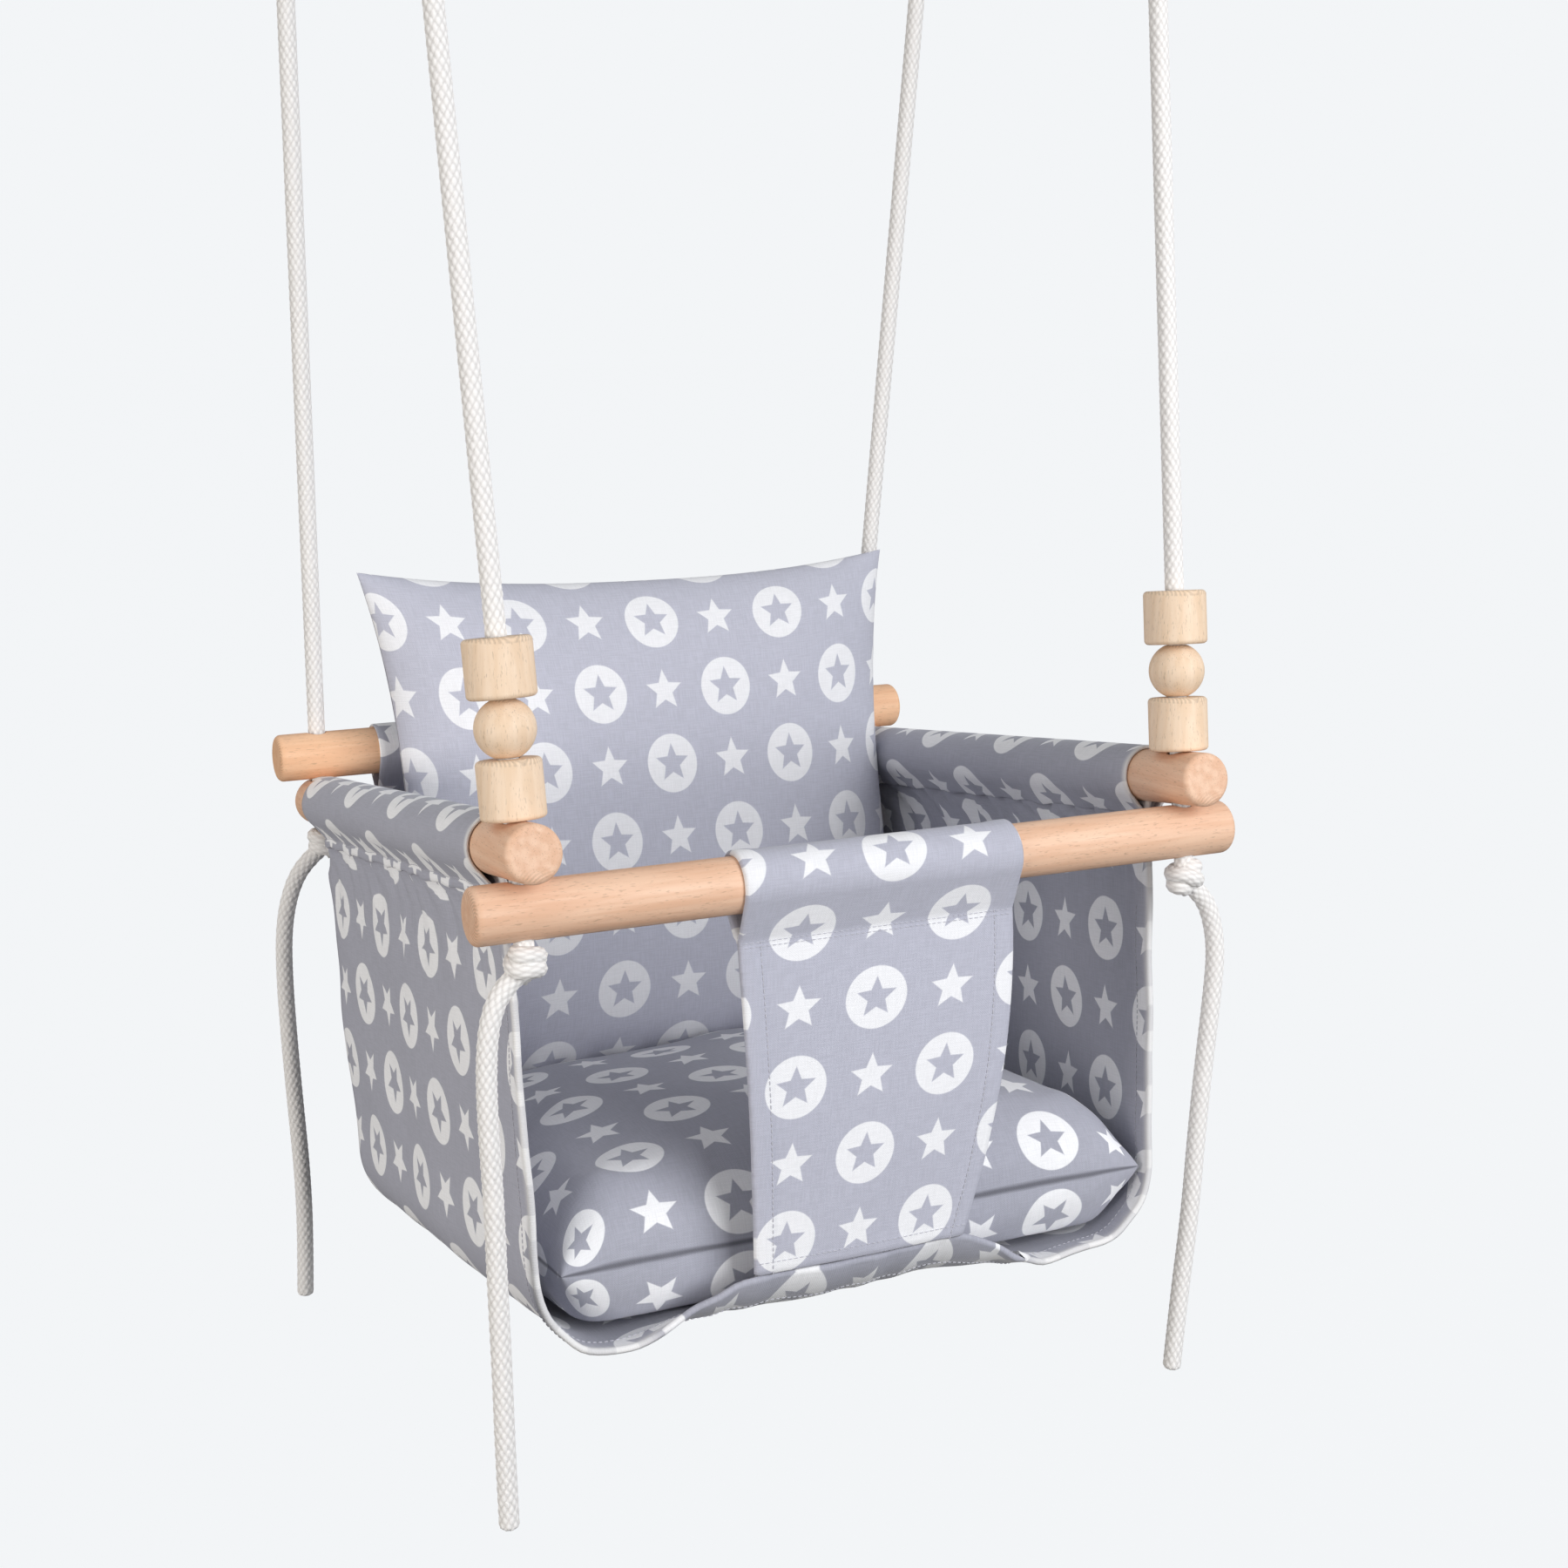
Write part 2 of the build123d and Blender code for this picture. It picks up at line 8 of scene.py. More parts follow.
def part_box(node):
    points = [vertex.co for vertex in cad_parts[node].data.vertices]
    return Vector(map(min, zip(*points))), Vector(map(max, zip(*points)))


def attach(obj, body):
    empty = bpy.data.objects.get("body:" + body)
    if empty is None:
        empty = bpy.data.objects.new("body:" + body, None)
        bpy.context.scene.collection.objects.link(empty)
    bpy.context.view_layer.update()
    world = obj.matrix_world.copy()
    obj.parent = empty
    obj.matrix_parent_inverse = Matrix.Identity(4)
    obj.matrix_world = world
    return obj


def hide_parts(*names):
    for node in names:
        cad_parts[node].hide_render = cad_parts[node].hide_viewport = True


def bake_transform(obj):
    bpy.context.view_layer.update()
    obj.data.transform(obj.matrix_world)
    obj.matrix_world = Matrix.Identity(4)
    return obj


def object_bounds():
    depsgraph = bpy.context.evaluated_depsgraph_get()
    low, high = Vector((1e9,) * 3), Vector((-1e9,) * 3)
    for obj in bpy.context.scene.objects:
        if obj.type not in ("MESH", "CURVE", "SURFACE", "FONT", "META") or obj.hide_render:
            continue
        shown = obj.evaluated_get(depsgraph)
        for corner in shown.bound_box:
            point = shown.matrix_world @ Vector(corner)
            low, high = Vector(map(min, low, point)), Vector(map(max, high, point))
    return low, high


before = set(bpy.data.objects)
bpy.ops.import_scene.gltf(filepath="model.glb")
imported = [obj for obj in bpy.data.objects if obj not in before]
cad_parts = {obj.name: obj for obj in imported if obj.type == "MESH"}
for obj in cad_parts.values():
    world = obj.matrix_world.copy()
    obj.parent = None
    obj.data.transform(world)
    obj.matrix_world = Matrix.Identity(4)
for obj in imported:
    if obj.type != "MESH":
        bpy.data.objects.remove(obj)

cad_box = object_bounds()

# --- Camera, and how the seat hangs ---
# The seat hangs tipped back a little. Its pieces are drawn level, in metres from the
# middle of its four rope holes, and then hung. The camera stands left of the front.

DOWEL_DIAMETER = 0.030
CROSS_HOLE_SPACING = 0.390
SIDE_HOLE_SPACING = 0.396


def middle(node):
    low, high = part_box(node)
    return (low + high) / 2


front_to_back = middle("back_dowel") - middle("front_dowel")
seat_origin = (middle("back_dowel") + middle("front_dowel")) / 2
level_rise = math.atan2(2 * DOWEL_DIAMETER, SIDE_HOLE_SPACING)
seat_tilt = math.atan2(front_to_back.z, front_to_back.y) - level_rise
hang_matrix = np.array(Matrix.Translation(seat_origin) @ Matrix.Rotation(seat_tilt, 4, "X"))


def hung(points):
    """Points of the level seat, where it hangs."""
    return np.asarray(points, float) @ hang_matrix[:3, :3].T + hang_matrix[:3, 3]


camera_data = bpy.data.cameras.new("camera")
camera_data.sensor_width = 36
camera_data.lens = 53.05
camera_data.shift_x = -0.0123
camera_data.shift_y = -0.0140
camera_data.clip_end = 50
camera = bpy.data.objects.new("camera", camera_data)
bpy.context.scene.collection.objects.link(camera)
azimuth, elevation, roll = math.radians(-25.66), math.radians(11.39), math.radians(-0.2)
backward = Vector((
    math.sin(azimuth) * math.cos(elevation),
    -math.cos(azimuth) * math.cos(elevation),
    math.sin(elevation),
))
rightward = Vector((0, 0, 1)).cross(backward).normalized()
upward = backward.cross(rightward)
camera_x = rightward * math.cos(roll) + upward * math.sin(roll)
camera_y = upward * math.cos(roll) - rightward * math.sin(roll)
camera_turn = Matrix((camera_x, camera_y, backward)).transposed().to_4x4()
look_at = seat_origin + Vector((0.0468, -0.0169, 0.0162))
camera.matrix_world = Matrix.Translation(look_at + backward * 1.395) @ camera_turn
bpy.context.scene.camera = camera

# --- Ropes and their free ends ---
# White braided polyester rope, 10.5 mm. Each runs taut from the knot under its corner
# up through the dowels and beads to a loop, and its free end hangs below the knot.

ROPE_DIAMETER = 0.0105
STRANDS_EACH_WAY = 8
BRAID_TURN = 0.050
ROPE_FACETS = 48
ROPE_STEP = 0.0009
KNOT_GAP = 0.0003
STOP_KNOT_HEIGHT = 0.021
LOOP_KNOT_HEIGHT = 0.027
LOOP_LEG = 0.026
LOOP_HALF_WIDTH = 0.0088
FLEX_HEIGHT = 0.1155
RING_RADIUS = 0.022
SIDES = {"left": -1, "right": 1}
ENDS = {"front": -1, "back": 1}
TAILS = {
    "left_front_tail": [
        (-1, 0, -3), (-11, 0, -10), (-19, -1, -24), (-22, -1, -47), (-22, -1, -79),
        (-20, 0, -119), (-19, 1, -166), (-18, 1, -214), (-18, 0, -258), (-17, 0, -300),
    ],
    "right_front_tail": [
        (1, 0, -3), (10, -1, -10), (18, -1, -23), (22, -2, -45), (20, -2, -74),
        (17, -1, -110), (14, 0, -154), (11, 0, -204), (6, 1, -254), (2, 1, -300),
    ],
    "left_back_tail": [
        (-1, 0, -3), (-13, 1, -12), (-23, 2, -29), (-29, 2, -55), (-30, 2, -90),
        (-29, 1, -134), (-27, 1, -178), (-25, 0, -222), (-25, 0, -266), (-27, 0, -308),
    ],
    "right_back_tail": [
        (1, 0, -3), (12, 1, -12), (21, 2, -28), (26, 3, -54), (26, 3, -89),
        (24, 2, -131), (26, 1, -175), (26, 1, -219), (24, 0, -262), (25, 0, -303),
    ],
}


def value_node(tree, operation, *inputs):
    """A math node with sockets or numbers as inputs; returns its output."""
    node = tree.nodes.new("ShaderNodeMath")
    node.operation = operation
    for index, entry in enumerate(inputs):
        if isinstance(entry, (int, float)):
            node.inputs[index].default_value = entry
        else:
            tree.links.new(entry, node.inputs[index])
    return node.outputs[0]


def times(tree, first, second):
    return value_node(tree, "MULTIPLY", first, second)


def plus(tree, first, second):
    return value_node(tree, "ADD", first, second)


def ramp_node(tree, source, low, high, out_low=0.0, out_high=1.0, smooth=True):
    """Maps a value from low..high to out_low..out_high."""
    node = tree.nodes.new("ShaderNodeMapRange")
    node.interpolation_type = "SMOOTHSTEP" if smooth else "LINEAR"
    tree.links.new(source, node.inputs["Value"])
    limits = {"From Min": low, "From Max": high, "To Min": out_low, "To Max": out_high}
    for socket, number in limits.items():
        node.inputs[socket].default_value = number
    return node.outputs["Result"]


def noise_node(tree, vector, scale, detail=2.0, roughness=0.5):
    """A noise texture on a vector; returns its value."""
    node = tree.nodes.new("ShaderNodeTexNoise")
    tree.links.new(vector, node.inputs["Vector"])
    node.inputs["Scale"].default_value = scale
    node.inputs["Detail"].default_value = detail
    node.inputs["Roughness"].default_value = roughness
    return node.outputs["Fac"]


def mix_node(tree, share, first, second, blend="MIX"):
    """Mixes two colours, each a socket or a colour."""
    node = tree.nodes.new("ShaderNodeMix")
    node.data_type = "RGBA"
    node.blend_type = blend
    for socket, entry in ((node.inputs[0], share), (node.inputs[6], first), (node.inputs[7], second)):
        if isinstance(entry, bpy.types.NodeSocket):
            tree.links.new(entry, socket)
        elif isinstance(entry, (int, float)):
            socket.default_value = entry
        else:
            socket.default_value = (*entry, 1.0)
    return node.outputs[2]


def new_material(name, roughness, **constants):
    """A material with its shader; constants are set on the shader's own sockets."""
    material = bpy.data.materials.new(name)
    material.use_nodes = True
    shader = material.node_tree.nodes["Principled BSDF"]
    shader.inputs["Roughness"].default_value = roughness
    for socket, number in constants.items():
        shader.inputs[socket.replace("_", " ")].default_value = number
    return material, material.node_tree, shader


def add_bump(tree, shader, height, distance, strength=1.0):
    """A bump of a real height in metres."""
    node = tree.nodes.new("ShaderNodeBump")
    node.inputs["Distance"].default_value = distance
    node.inputs["Strength"].default_value = strength
    tree.links.new(height, node.inputs["Height"])
    tree.links.new(node.outputs["Normal"], shader.inputs["Normal"])


def attribute_node(tree, name):
    node = tree.nodes.new("ShaderNodeAttribute")
    node.attribute_name = name
    return node


def new_group(name, inputs, outputs):
    """An empty shader group with named sockets, its entry and its way out."""
    group = bpy.data.node_groups.new(name, "ShaderNodeTree")
    for label, kind in inputs:
        group.interface.new_socket(label, in_out="INPUT", socket_type=kind)
    for label in outputs:
        group.interface.new_socket(label, in_out="OUTPUT", socket_type="NodeSocketFloat")
    return group, group.nodes.new("NodeGroupInput"), group.nodes.new("NodeGroupOutput")


def radius_node(tree, x, y):
    """How far a place of a plane lies from its origin."""
    squares = [times(tree, part, part) for part in (x, y)]
    return value_node(tree, "SQRT", plus(tree, *squares))


rope_material, tree, shader = new_material("braided_rope", 0.75, Sheen_Weight=0.25)
strand = attribute_node(tree, "strand").outputs["Fac"]
fibre_place = attribute_node(tree, "fibre").outputs["Vector"]
fibres = noise_node(tree, fibre_place, 1.0, detail=3.0, roughness=0.6)
# Painted shade: the rope's colour darkens from the strand crowns into the grooves between strands.
groove_shade_share = ramp_node(tree, strand, 0.15, 0.8)
rope_tint = mix_node(tree, groove_shade_share, (0.80, 0.775, 0.75), (0.95, 0.93, 0.91))
fibre_share = ramp_node(tree, fibres, 0.35, 0.75, 0.0, 0.22)
rope_tint = mix_node(tree, fibre_share, rope_tint, (0.82, 0.79, 0.765))
tree.links.new(rope_tint, shader.inputs["Base Color"])
add_bump(tree, shader, fibres, 0.0004, 0.6)


def new_mesh(name, points, faces, material, face_uv=None):
    """A smooth mesh object; face_uv gives the map place of each face's corners."""
    mesh = bpy.data.meshes.new(name)
    mesh.from_pydata(np.asarray(points, float).tolist(), [], faces)
    mesh.shade_smooth()
    if face_uv is not None:
        layer = mesh.uv_layers.new(name="UVMap")
        layer.data.foreach_set("uv", np.asarray(face_uv, np.float32).ravel())
    mesh.materials.append(material)
    piece = bpy.data.objects.new(name, mesh)
    bpy.context.scene.collection.objects.link(piece)
    return piece


def route(points):
    """The points along the NURBS spline of a given route."""
    curve = bpy.data.curves.new("route", "CURVE")
    curve.dimensions = "3D"
    curve.resolution_u = 24
    spline = curve.splines.new("NURBS")
    spline.points.add(len(points) - 1)
    for point, place in zip(spline.points, points):
        point.co = (*place, 1.0)
    spline.order_u = 3
    spline.use_endpoint_u = True
    holder = bpy.data.objects.new("route", curve)
    mesh = bpy.data.meshes.new_from_object(holder)
    line = np.array([vertex.co for vertex in mesh.vertices], float)
    bpy.data.objects.remove(holder)
    bpy.data.curves.remove(curve)
    bpy.data.meshes.remove(mesh)
    return line


def lengths(line):
    """How far along a line each of its points lies."""
    return np.concatenate(([0.0], np.cumsum(np.linalg.norm(np.diff(line, axis=0), axis=1))))


def evenly(line, step):
    """The same line with points a step apart."""
    along = lengths(line)
    places = np.linspace(0, along[-1], max(2, round(along[-1] / step) + 1))
    return np.stack([np.interp(places, along, line[:, axis]) for axis in range(3)], 1), places


def carried_frames(line):
    """Two directions across a line at each of its points, carried along without twist."""
    tangents = np.gradient(line, axis=0)
    tangents /= np.linalg.norm(tangents, axis=1)[:, None]
    side = np.cross(tangents[0], (0.0, 1.0, 0.0))
    first = []
    for tangent in tangents:
        side = side - tangent * (side @ tangent)
        side /= np.linalg.norm(side)
        first.append(side)
    first = np.array(first)
    return first, np.cross(tangents, first)


def braided_tube(name, line, radius=ROPE_DIAMETER / 2, start_taper=0.0, end_taper=0.0):
    """A rope's braided surface round a line, with rounded ends where a taper is given."""
    line, along = evenly(line, ROPE_STEP)
    across, upright = carried_frames(line)
    turn = np.arange(ROPE_FACETS) / ROPE_FACETS
    turns, runs = np.meshgrid(turn, along)
    one_way = STRANDS_EACH_WAY * (turns + runs / BRAID_TURN)
    other_way = STRANDS_EACH_WAY * (turns - runs / BRAID_TURN)
    over = (np.floor(one_way) + np.floor(other_way)) % 2 == 0
    width_place = np.where(over, one_way % 1, other_way % 1)
    length_place = np.where(over, other_way % 1, one_way % 1)
    crown = np.sin(np.pi * width_place) ** 0.7 * (0.25 + 0.75 * np.sin(np.pi * length_place) ** 0.6)
    reach = radius * (0.90 + 0.14 * crown)
    for taper, gone in ((start_taper, along), (end_taper, along[-1] - along)):
        if taper:
            share = np.clip(gone / taper, 0, 1)
            reach *= np.sqrt(np.clip(1 - (1 - share) ** 2, 0.02, 1))[:, None]
    angle = 2 * np.pi * turns
    points = line[:, None] + reach[..., None] * (
        np.cos(angle)[..., None] * across[:, None] + np.sin(angle)[..., None] * upright[:, None]
    )
    rows, columns = turns.shape
    index = np.arange(rows * columns).reshape(rows, columns)
    around = np.roll(index, -1, axis=1)
    faces = np.stack([index[:-1], around[:-1], around[1:], index[1:]], -1).reshape(-1, 4).tolist()
    faces += [index[0, ::-1].tolist(), index[-1].tolist()]
    piece = new_mesh(name, points.reshape(-1, 3), faces, rope_material)
    # The crown height stored here also drives the painted shade in the rope's grooves.
    strand_layer = piece.data.attributes.new("strand", "FLOAT", "POINT")
    strand_layer.data.foreach_set("value", crown.ravel().astype(np.float32))
    fibre = np.stack([np.where(over, one_way, other_way + 40) * 9, runs * 260, turns * 0], -1)
    fibre_layer = piece.data.attributes.new("fibre", "FLOAT_VECTOR", "POINT")
    fibre_layer.data.foreach_set("vector", fibre.reshape(-1).astype(np.float32))
    return piece, line


def in_hole(side, end, height):
    """A place on the axis of a corner's rope hole, over the side dowels' middle."""
    across, along = SIDES[side] * CROSS_HOLE_SPACING / 2, ENDS[end] * SIDE_HOLE_SPACING / 2
    return Vector(hung((across, along, height)))


def stop_knot_middle(side, end):
    """Middle of the knot under a corner of the seat."""
    below = DOWEL_DIAMETER * (1.5 if end == "front" else 0.5) + KNOT_GAP + STOP_KNOT_HEIGHT / 2
    return in_hole(side, end, -below)


def bearing(side, end):
    """Where a loop bears on its ring."""
    return middle(f"{side}_{end}_ring") - Vector((0, 0, RING_RADIUS))


def rope_foot(side, end):
    """Where the straight part of a rope starts: in the side dowel, or on the back dowel."""
    return in_hole(side, end, 0 if end == "front" else 1.5 * DOWEL_DIAMETER)


taut_lines = {}
for side in SIDES:
    for end in ENDS:
        corner = f"{side}_{end}"
        foot, top = rope_foot(side, end), bearing(side, end)
        up = (top - foot).normalized()
        below_knot = top - up * (LOOP_LEG + LOOP_KNOT_HEIGHT / 2)
        if end == "front":
            flex = foot + up * FLEX_HEIGHT
            points = [stop_knot_middle(side, end), foot, flex, below_knot]
        else:
            between = [foot.lerp(below_knot, share) for share in (0.3, 0.7)]
            points = [foot - up * 0.012, *between, below_knot]
        taut_lines[corner] = braided_tube(f"{corner}_taut_rope", route(points))
        tail_points = [
            stop_knot_middle(side, end) + Vector(offset) / 1000 for offset in TAILS[f"{corner}_tail"]
        ]
        tail, tail_line = braided_tube(f"{corner}_hanging_end", route(tail_points), end_taper=0.003)
        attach(tail, "seat")
        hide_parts(f"{corner}_tail")

# --- Knots and loops ---
# Each rope is knotted hard up under its dowel, and is tied in a loop round its ring.
# The knots are the rope's own turns, pulled tight.

KNOT_TURNS = [
    (0, 0, 9.5), (4.5, -3.5, 7.5), (7.2, 2.6, 6.4), (1.5, 7.3, 5.6), (-6.2, 5.2, 3.2),
    (-7.2, -2.6, 1.6), (-2.6, -7.4, 2.8), (5.4, -5.4, -1.2), (7.5, 1.5, -4.2), (2.0, 7.1, -2.6),
    (-5.6, 5.0, -5.0), (-6.4, -3.6, -7.0), (-1.5, -4.5, -7.4), (0, 0, -9.5),
]
LOOP_SIDE = ((0.6, -0.040), (1, -0.026), (1, -0.010), (1.02, 0.0035), (0.62, 0.0112))


def knot_piece(name, centre, up, width_scale, height_scale, spin):
    """The tight turns of a knot on a rope."""
    turned = Matrix.Rotation(spin, 3, "Z")
    standing = Vector((0, 0, 1)).rotation_difference(up).to_matrix()
    turns = []
    for x, y, z in KNOT_TURNS:
        place = turned @ Vector((x * width_scale, y * width_scale, z * height_scale))
        turns.append(centre + standing @ (place / 1000))
    return braided_tube(name, route(turns), radius=ROPE_DIAMETER * 0.44)[0]


seat_up = Vector(hang_matrix[:3, 2])
for side in SIDES:
    for end in ENDS:
        corner = f"{side}_{end}"
        stop = knot_piece(
            f"{corner}_tied_stop_knot", stop_knot_middle(side, end), seat_up, 0.98, 0.72,
            0.6 + SIDES[side] + 2 * ENDS[end],
        )
        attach(stop, "seat")
        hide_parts(f"{corner}_stop_knot")
        top = bearing(side, end)
        up = (top - rope_foot(side, end)).normalized()
        knot_middle = top - up * (LOOP_LEG + LOOP_KNOT_HEIGHT / 2)
        tied = knot_piece(f"{corner}_tied_loop_knot", knot_middle, up, 1.35, 1.0, 1.1 * SIDES[side])
        legs = [(0, -LOOP_HALF_WIDTH * share, height) for share, height in LOOP_SIDE]
        legs += [(0, LOOP_HALF_WIDTH * share, height) for share, height in LOOP_SIDE[::-1]]
        standing = Vector((0, 0, 1)).rotation_difference(up).to_matrix()
        loop, _ = braided_tube(
            f"{corner}_tied_loop", route([top + standing @ Vector(place) for place in legs]),
        )
        body = f"{end}_ropes"
        for piece, node in ((tied, "loop_knot"), (loop, "rope_loop")):
            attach(piece, body)
            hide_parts(f"{corner}_{node}")
        rope, line = taut_lines[corner]
        if end == "front":
            flex = rope_foot(side, end) + up * FLEX_HEIGHT
            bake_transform(rope)
            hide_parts(f"{corner}_rope", f"{side}_front_lower_rope")
        else:
            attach(rope, "back_ropes")
            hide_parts(f"{corner}_rope")
    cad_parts[f"{side}_back_lower_rope"].material_slots[0].material = rope_material

# --- Rings ---
# Four rings of 6 mm steel wire that the loops hang on, each closed with a weld.

RING_WIRE_DIAMETER = 0.006

steel_material, tree, shader = new_material("brushed_steel", 0.35, Metallic=1.0)
place = tree.nodes.new("ShaderNodeTexCoord").outputs["Object"]
scratches = noise_node(tree, place, 900.0, detail=3.0)
smudges = noise_node(tree, place, 60.0, detail=2.0)
steel_tint = mix_node(tree, smudges, (0.48, 0.48, 0.49), (0.62, 0.62, 0.63))
tree.links.new(steel_tint, shader.inputs["Base Color"])
tree.links.new(ramp_node(tree, scratches, 0.3, 0.7, 0.25, 0.5), shader.inputs["Roughness"])
add_bump(tree, shader, scratches, 0.00005)

for side in SIDES:
    for end in ENDS:
        hole = middle(f"{side}_{end}_ring")
        around, section = 96, 20
        big = np.linspace(0, 2 * np.pi, around, endpoint=False)
        small = np.linspace(0, 2 * np.pi, section, endpoint=False)
        weld = 0.00035 * np.exp(-((np.angle(np.exp(1j * (big - np.pi / 2))) / 0.055) ** 2))
        wire = RING_WIRE_DIAMETER / 2 + weld[:, None] * (1 + 0.3 * np.sin(3 * small)[None])
        out = RING_RADIUS + wire * np.cos(small)
        points = np.stack([
            hole.x + out * np.cos(big)[:, None],
            hole.y + wire * np.sin(small),
            hole.z + out * np.sin(big)[:, None],
        ], -1)
        index = np.arange(around * section).reshape(around, section)
        ahead, turned = np.roll(index, -1, 0), np.roll(index, -1, 1)
        both = np.roll(ahead, -1, 1)
        faces = np.stack([index, turned, both, ahead], -1).reshape(-1, 4).tolist()
        ring = new_mesh(f"{side}_{end}_welded_ring", points.reshape(-1, 3), faces, steel_material)
        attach(ring, "rings")
        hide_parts(f"{side}_{end}_ring")

# --- Dowels and beads ---
# Turned beech, sanded and unvarnished, with fine flecked grain and end grain on the
# caps. Two side dowels, one across under them in front and one across on top behind.

DOWEL_OVERHANG = 0.027
SIDE_REAR_OVERHANG = 0.013
BEAD_HALF_LENGTH = 0.0147


def build_wood_group():
    """Beech: growth bands and short dark flecks along X, rings where the end is cut."""
    group, entry, leave = new_group(
        "beech_grain", (("Vector", "NodeSocketVector"), ("Half Length", "NodeSocketFloat")),
        ("Band", "Fleck", "End Grain"),
    )
    stretched = group.nodes.new("ShaderNodeMapping")
    stretched.inputs["Scale"].default_value = (0.06, 1.0, 1.0)
    group.links.new(entry.outputs["Vector"], stretched.inputs["Vector"])
    bands = noise_node(group, stretched.outputs["Vector"], 210.0, detail=3.0, roughness=0.55)
    flecked = group.nodes.new("ShaderNodeMapping")
    flecked.inputs["Scale"].default_value = (0.16, 1.0, 1.0)
    group.links.new(entry.outputs["Vector"], flecked.inputs["Vector"])
    flecks = noise_node(group, flecked.outputs["Vector"], 1500.0, detail=1.0)
    split = group.nodes.new("ShaderNodeSeparateXYZ")
    group.links.new(entry.outputs["Vector"], split.inputs[0])
    off_axis = plus(group, split.outputs["Y"], 0.011)
    radius = radius_node(group, off_axis, split.outputs["Z"])
    wobble = times(group, noise_node(group, entry.outputs["Vector"], 120.0), 0.0012)
    year = times(group, plus(group, radius, wobble), 3600.0)
    rings = value_node(group, "SINE", year)
    from_middle = value_node(group, "ABSOLUTE", split.outputs["X"])
    beyond = value_node(group, "SUBTRACT", from_middle, entry.outputs["Half Length"])
    cut = ramp_node(group, beyond, -0.0012, -0.0002)
    group.links.new(ramp_node(group, bands, 0.3, 0.7), leave.inputs["Band"])
    group.links.new(ramp_node(group, flecks, 0.60, 0.74), leave.inputs["Fleck"])
    end_grain = times(group, cut, ramp_node(group, rings, -1.0, 1.0))
    group.links.new(end_grain, leave.inputs["End Grain"])
    return group


wood_group = build_wood_group()


def wood_material(name, centre, turn, half_length, light, dark):
    """Beech whose grain runs along a piece: its centre and its turn from the X axis."""
    material, tree, shader = new_material(name, 0.55, Specular_IOR_Level=0.35)
    place = tree.nodes.new("ShaderNodeTexCoord").outputs["Object"]
    centred = tree.nodes.new("ShaderNodeMapping")
    centred.vector_type = "TEXTURE"
    centred.inputs["Location"].default_value = centre
    centred.inputs["Rotation"].default_value = turn
    tree.links.new(place, centred.inputs["Vector"])
    grain = tree.nodes.new("ShaderNodeGroup")
    grain.node_tree = wood_group
    grain.inputs["Half Length"].default_value = half_length
    tree.links.new(centred.outputs["Vector"], grain.inputs["Vector"])
    tint = mix_node(tree, grain.outputs["Band"], light, dark)
    fleck_share = times(tree, grain.outputs["Fleck"], 0.45)
    tint = mix_node(tree, fleck_share, tint, tuple(part * 0.55 for part in dark))
    end_share = times(tree, grain.outputs["End Grain"], 0.5)
    tint = mix_node(tree, end_share, tint, tuple(part * 0.6 for part in dark))
    tree.links.new(tint, shader.inputs["Base Color"])
    rough = plus(tree, times(tree, grain.outputs["Band"], 0.12), 0.48)
    tree.links.new(rough, shader.inputs["Roughness"])
    relief = value_node(tree, "SUBTRACT", grain.outputs["Band"], grain.outputs["Fleck"])
    add_bump(tree, shader, relief, 0.00012, 0.5)
    return material


BEECH_LIGHT, BEECH_DARK = (0.86, 0.58, 0.41), (0.77, 0.47, 0.31)
PALE_LIGHT, PALE_DARK = (0.89, 0.70, 0.525), (0.82, 0.61, 0.425)
for node, light, dark in (
    ("front_dowel", BEECH_LIGHT, BEECH_DARK),
    ("back_dowel", (0.95, 0.60, 0.375), (0.86, 0.50, 0.295)),
    ("left_side_dowel", BEECH_LIGHT, BEECH_DARK),
    ("right_side_dowel", BEECH_LIGHT, BEECH_DARK),
):
    along_y = "side" in node
    turn = (seat_tilt, 0, math.pi / 2) if along_y else (seat_tilt, 0, 0)
    length = CROSS_HOLE_SPACING + 2 * DOWEL_OVERHANG
    if along_y:
        length = SIDE_HOLE_SPACING + DOWEL_OVERHANG + SIDE_REAR_OVERHANG
    material = wood_material(f"beech_{node}", middle(node), turn, length / 2, light, dark)
    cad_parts[node].material_slots[0].material = material
for side in SIDES:
    for bead in ("lower", "ball", "upper"):
        node = f"{side}_{bead}_bead"
        material = wood_material(
            f"beech_{node}", middle(node), (seat_tilt, math.pi / 2, 0), BEAD_HALF_LENGTH,
            PALE_LIGHT, PALE_DARK,
        )
        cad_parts[node].material_slots[0].material = material

# --- Printed cotton ---
# Grey canvas with a generic white print, five-point stars and discs with a star cut
# out in turn. The whole seat and both cushions are cut from it. It is one cloth, but the
# strap and back pillow get a lighter grey and a softer white than the other pieces, to follow
# uneven contrast: painted light, lit copies of the one cloth.

PRINT_PITCH = 0.0455
STAR_EDGE_NORMAL = (0.384, 0.923)
CLOTH_THICKNESS = 0.0018


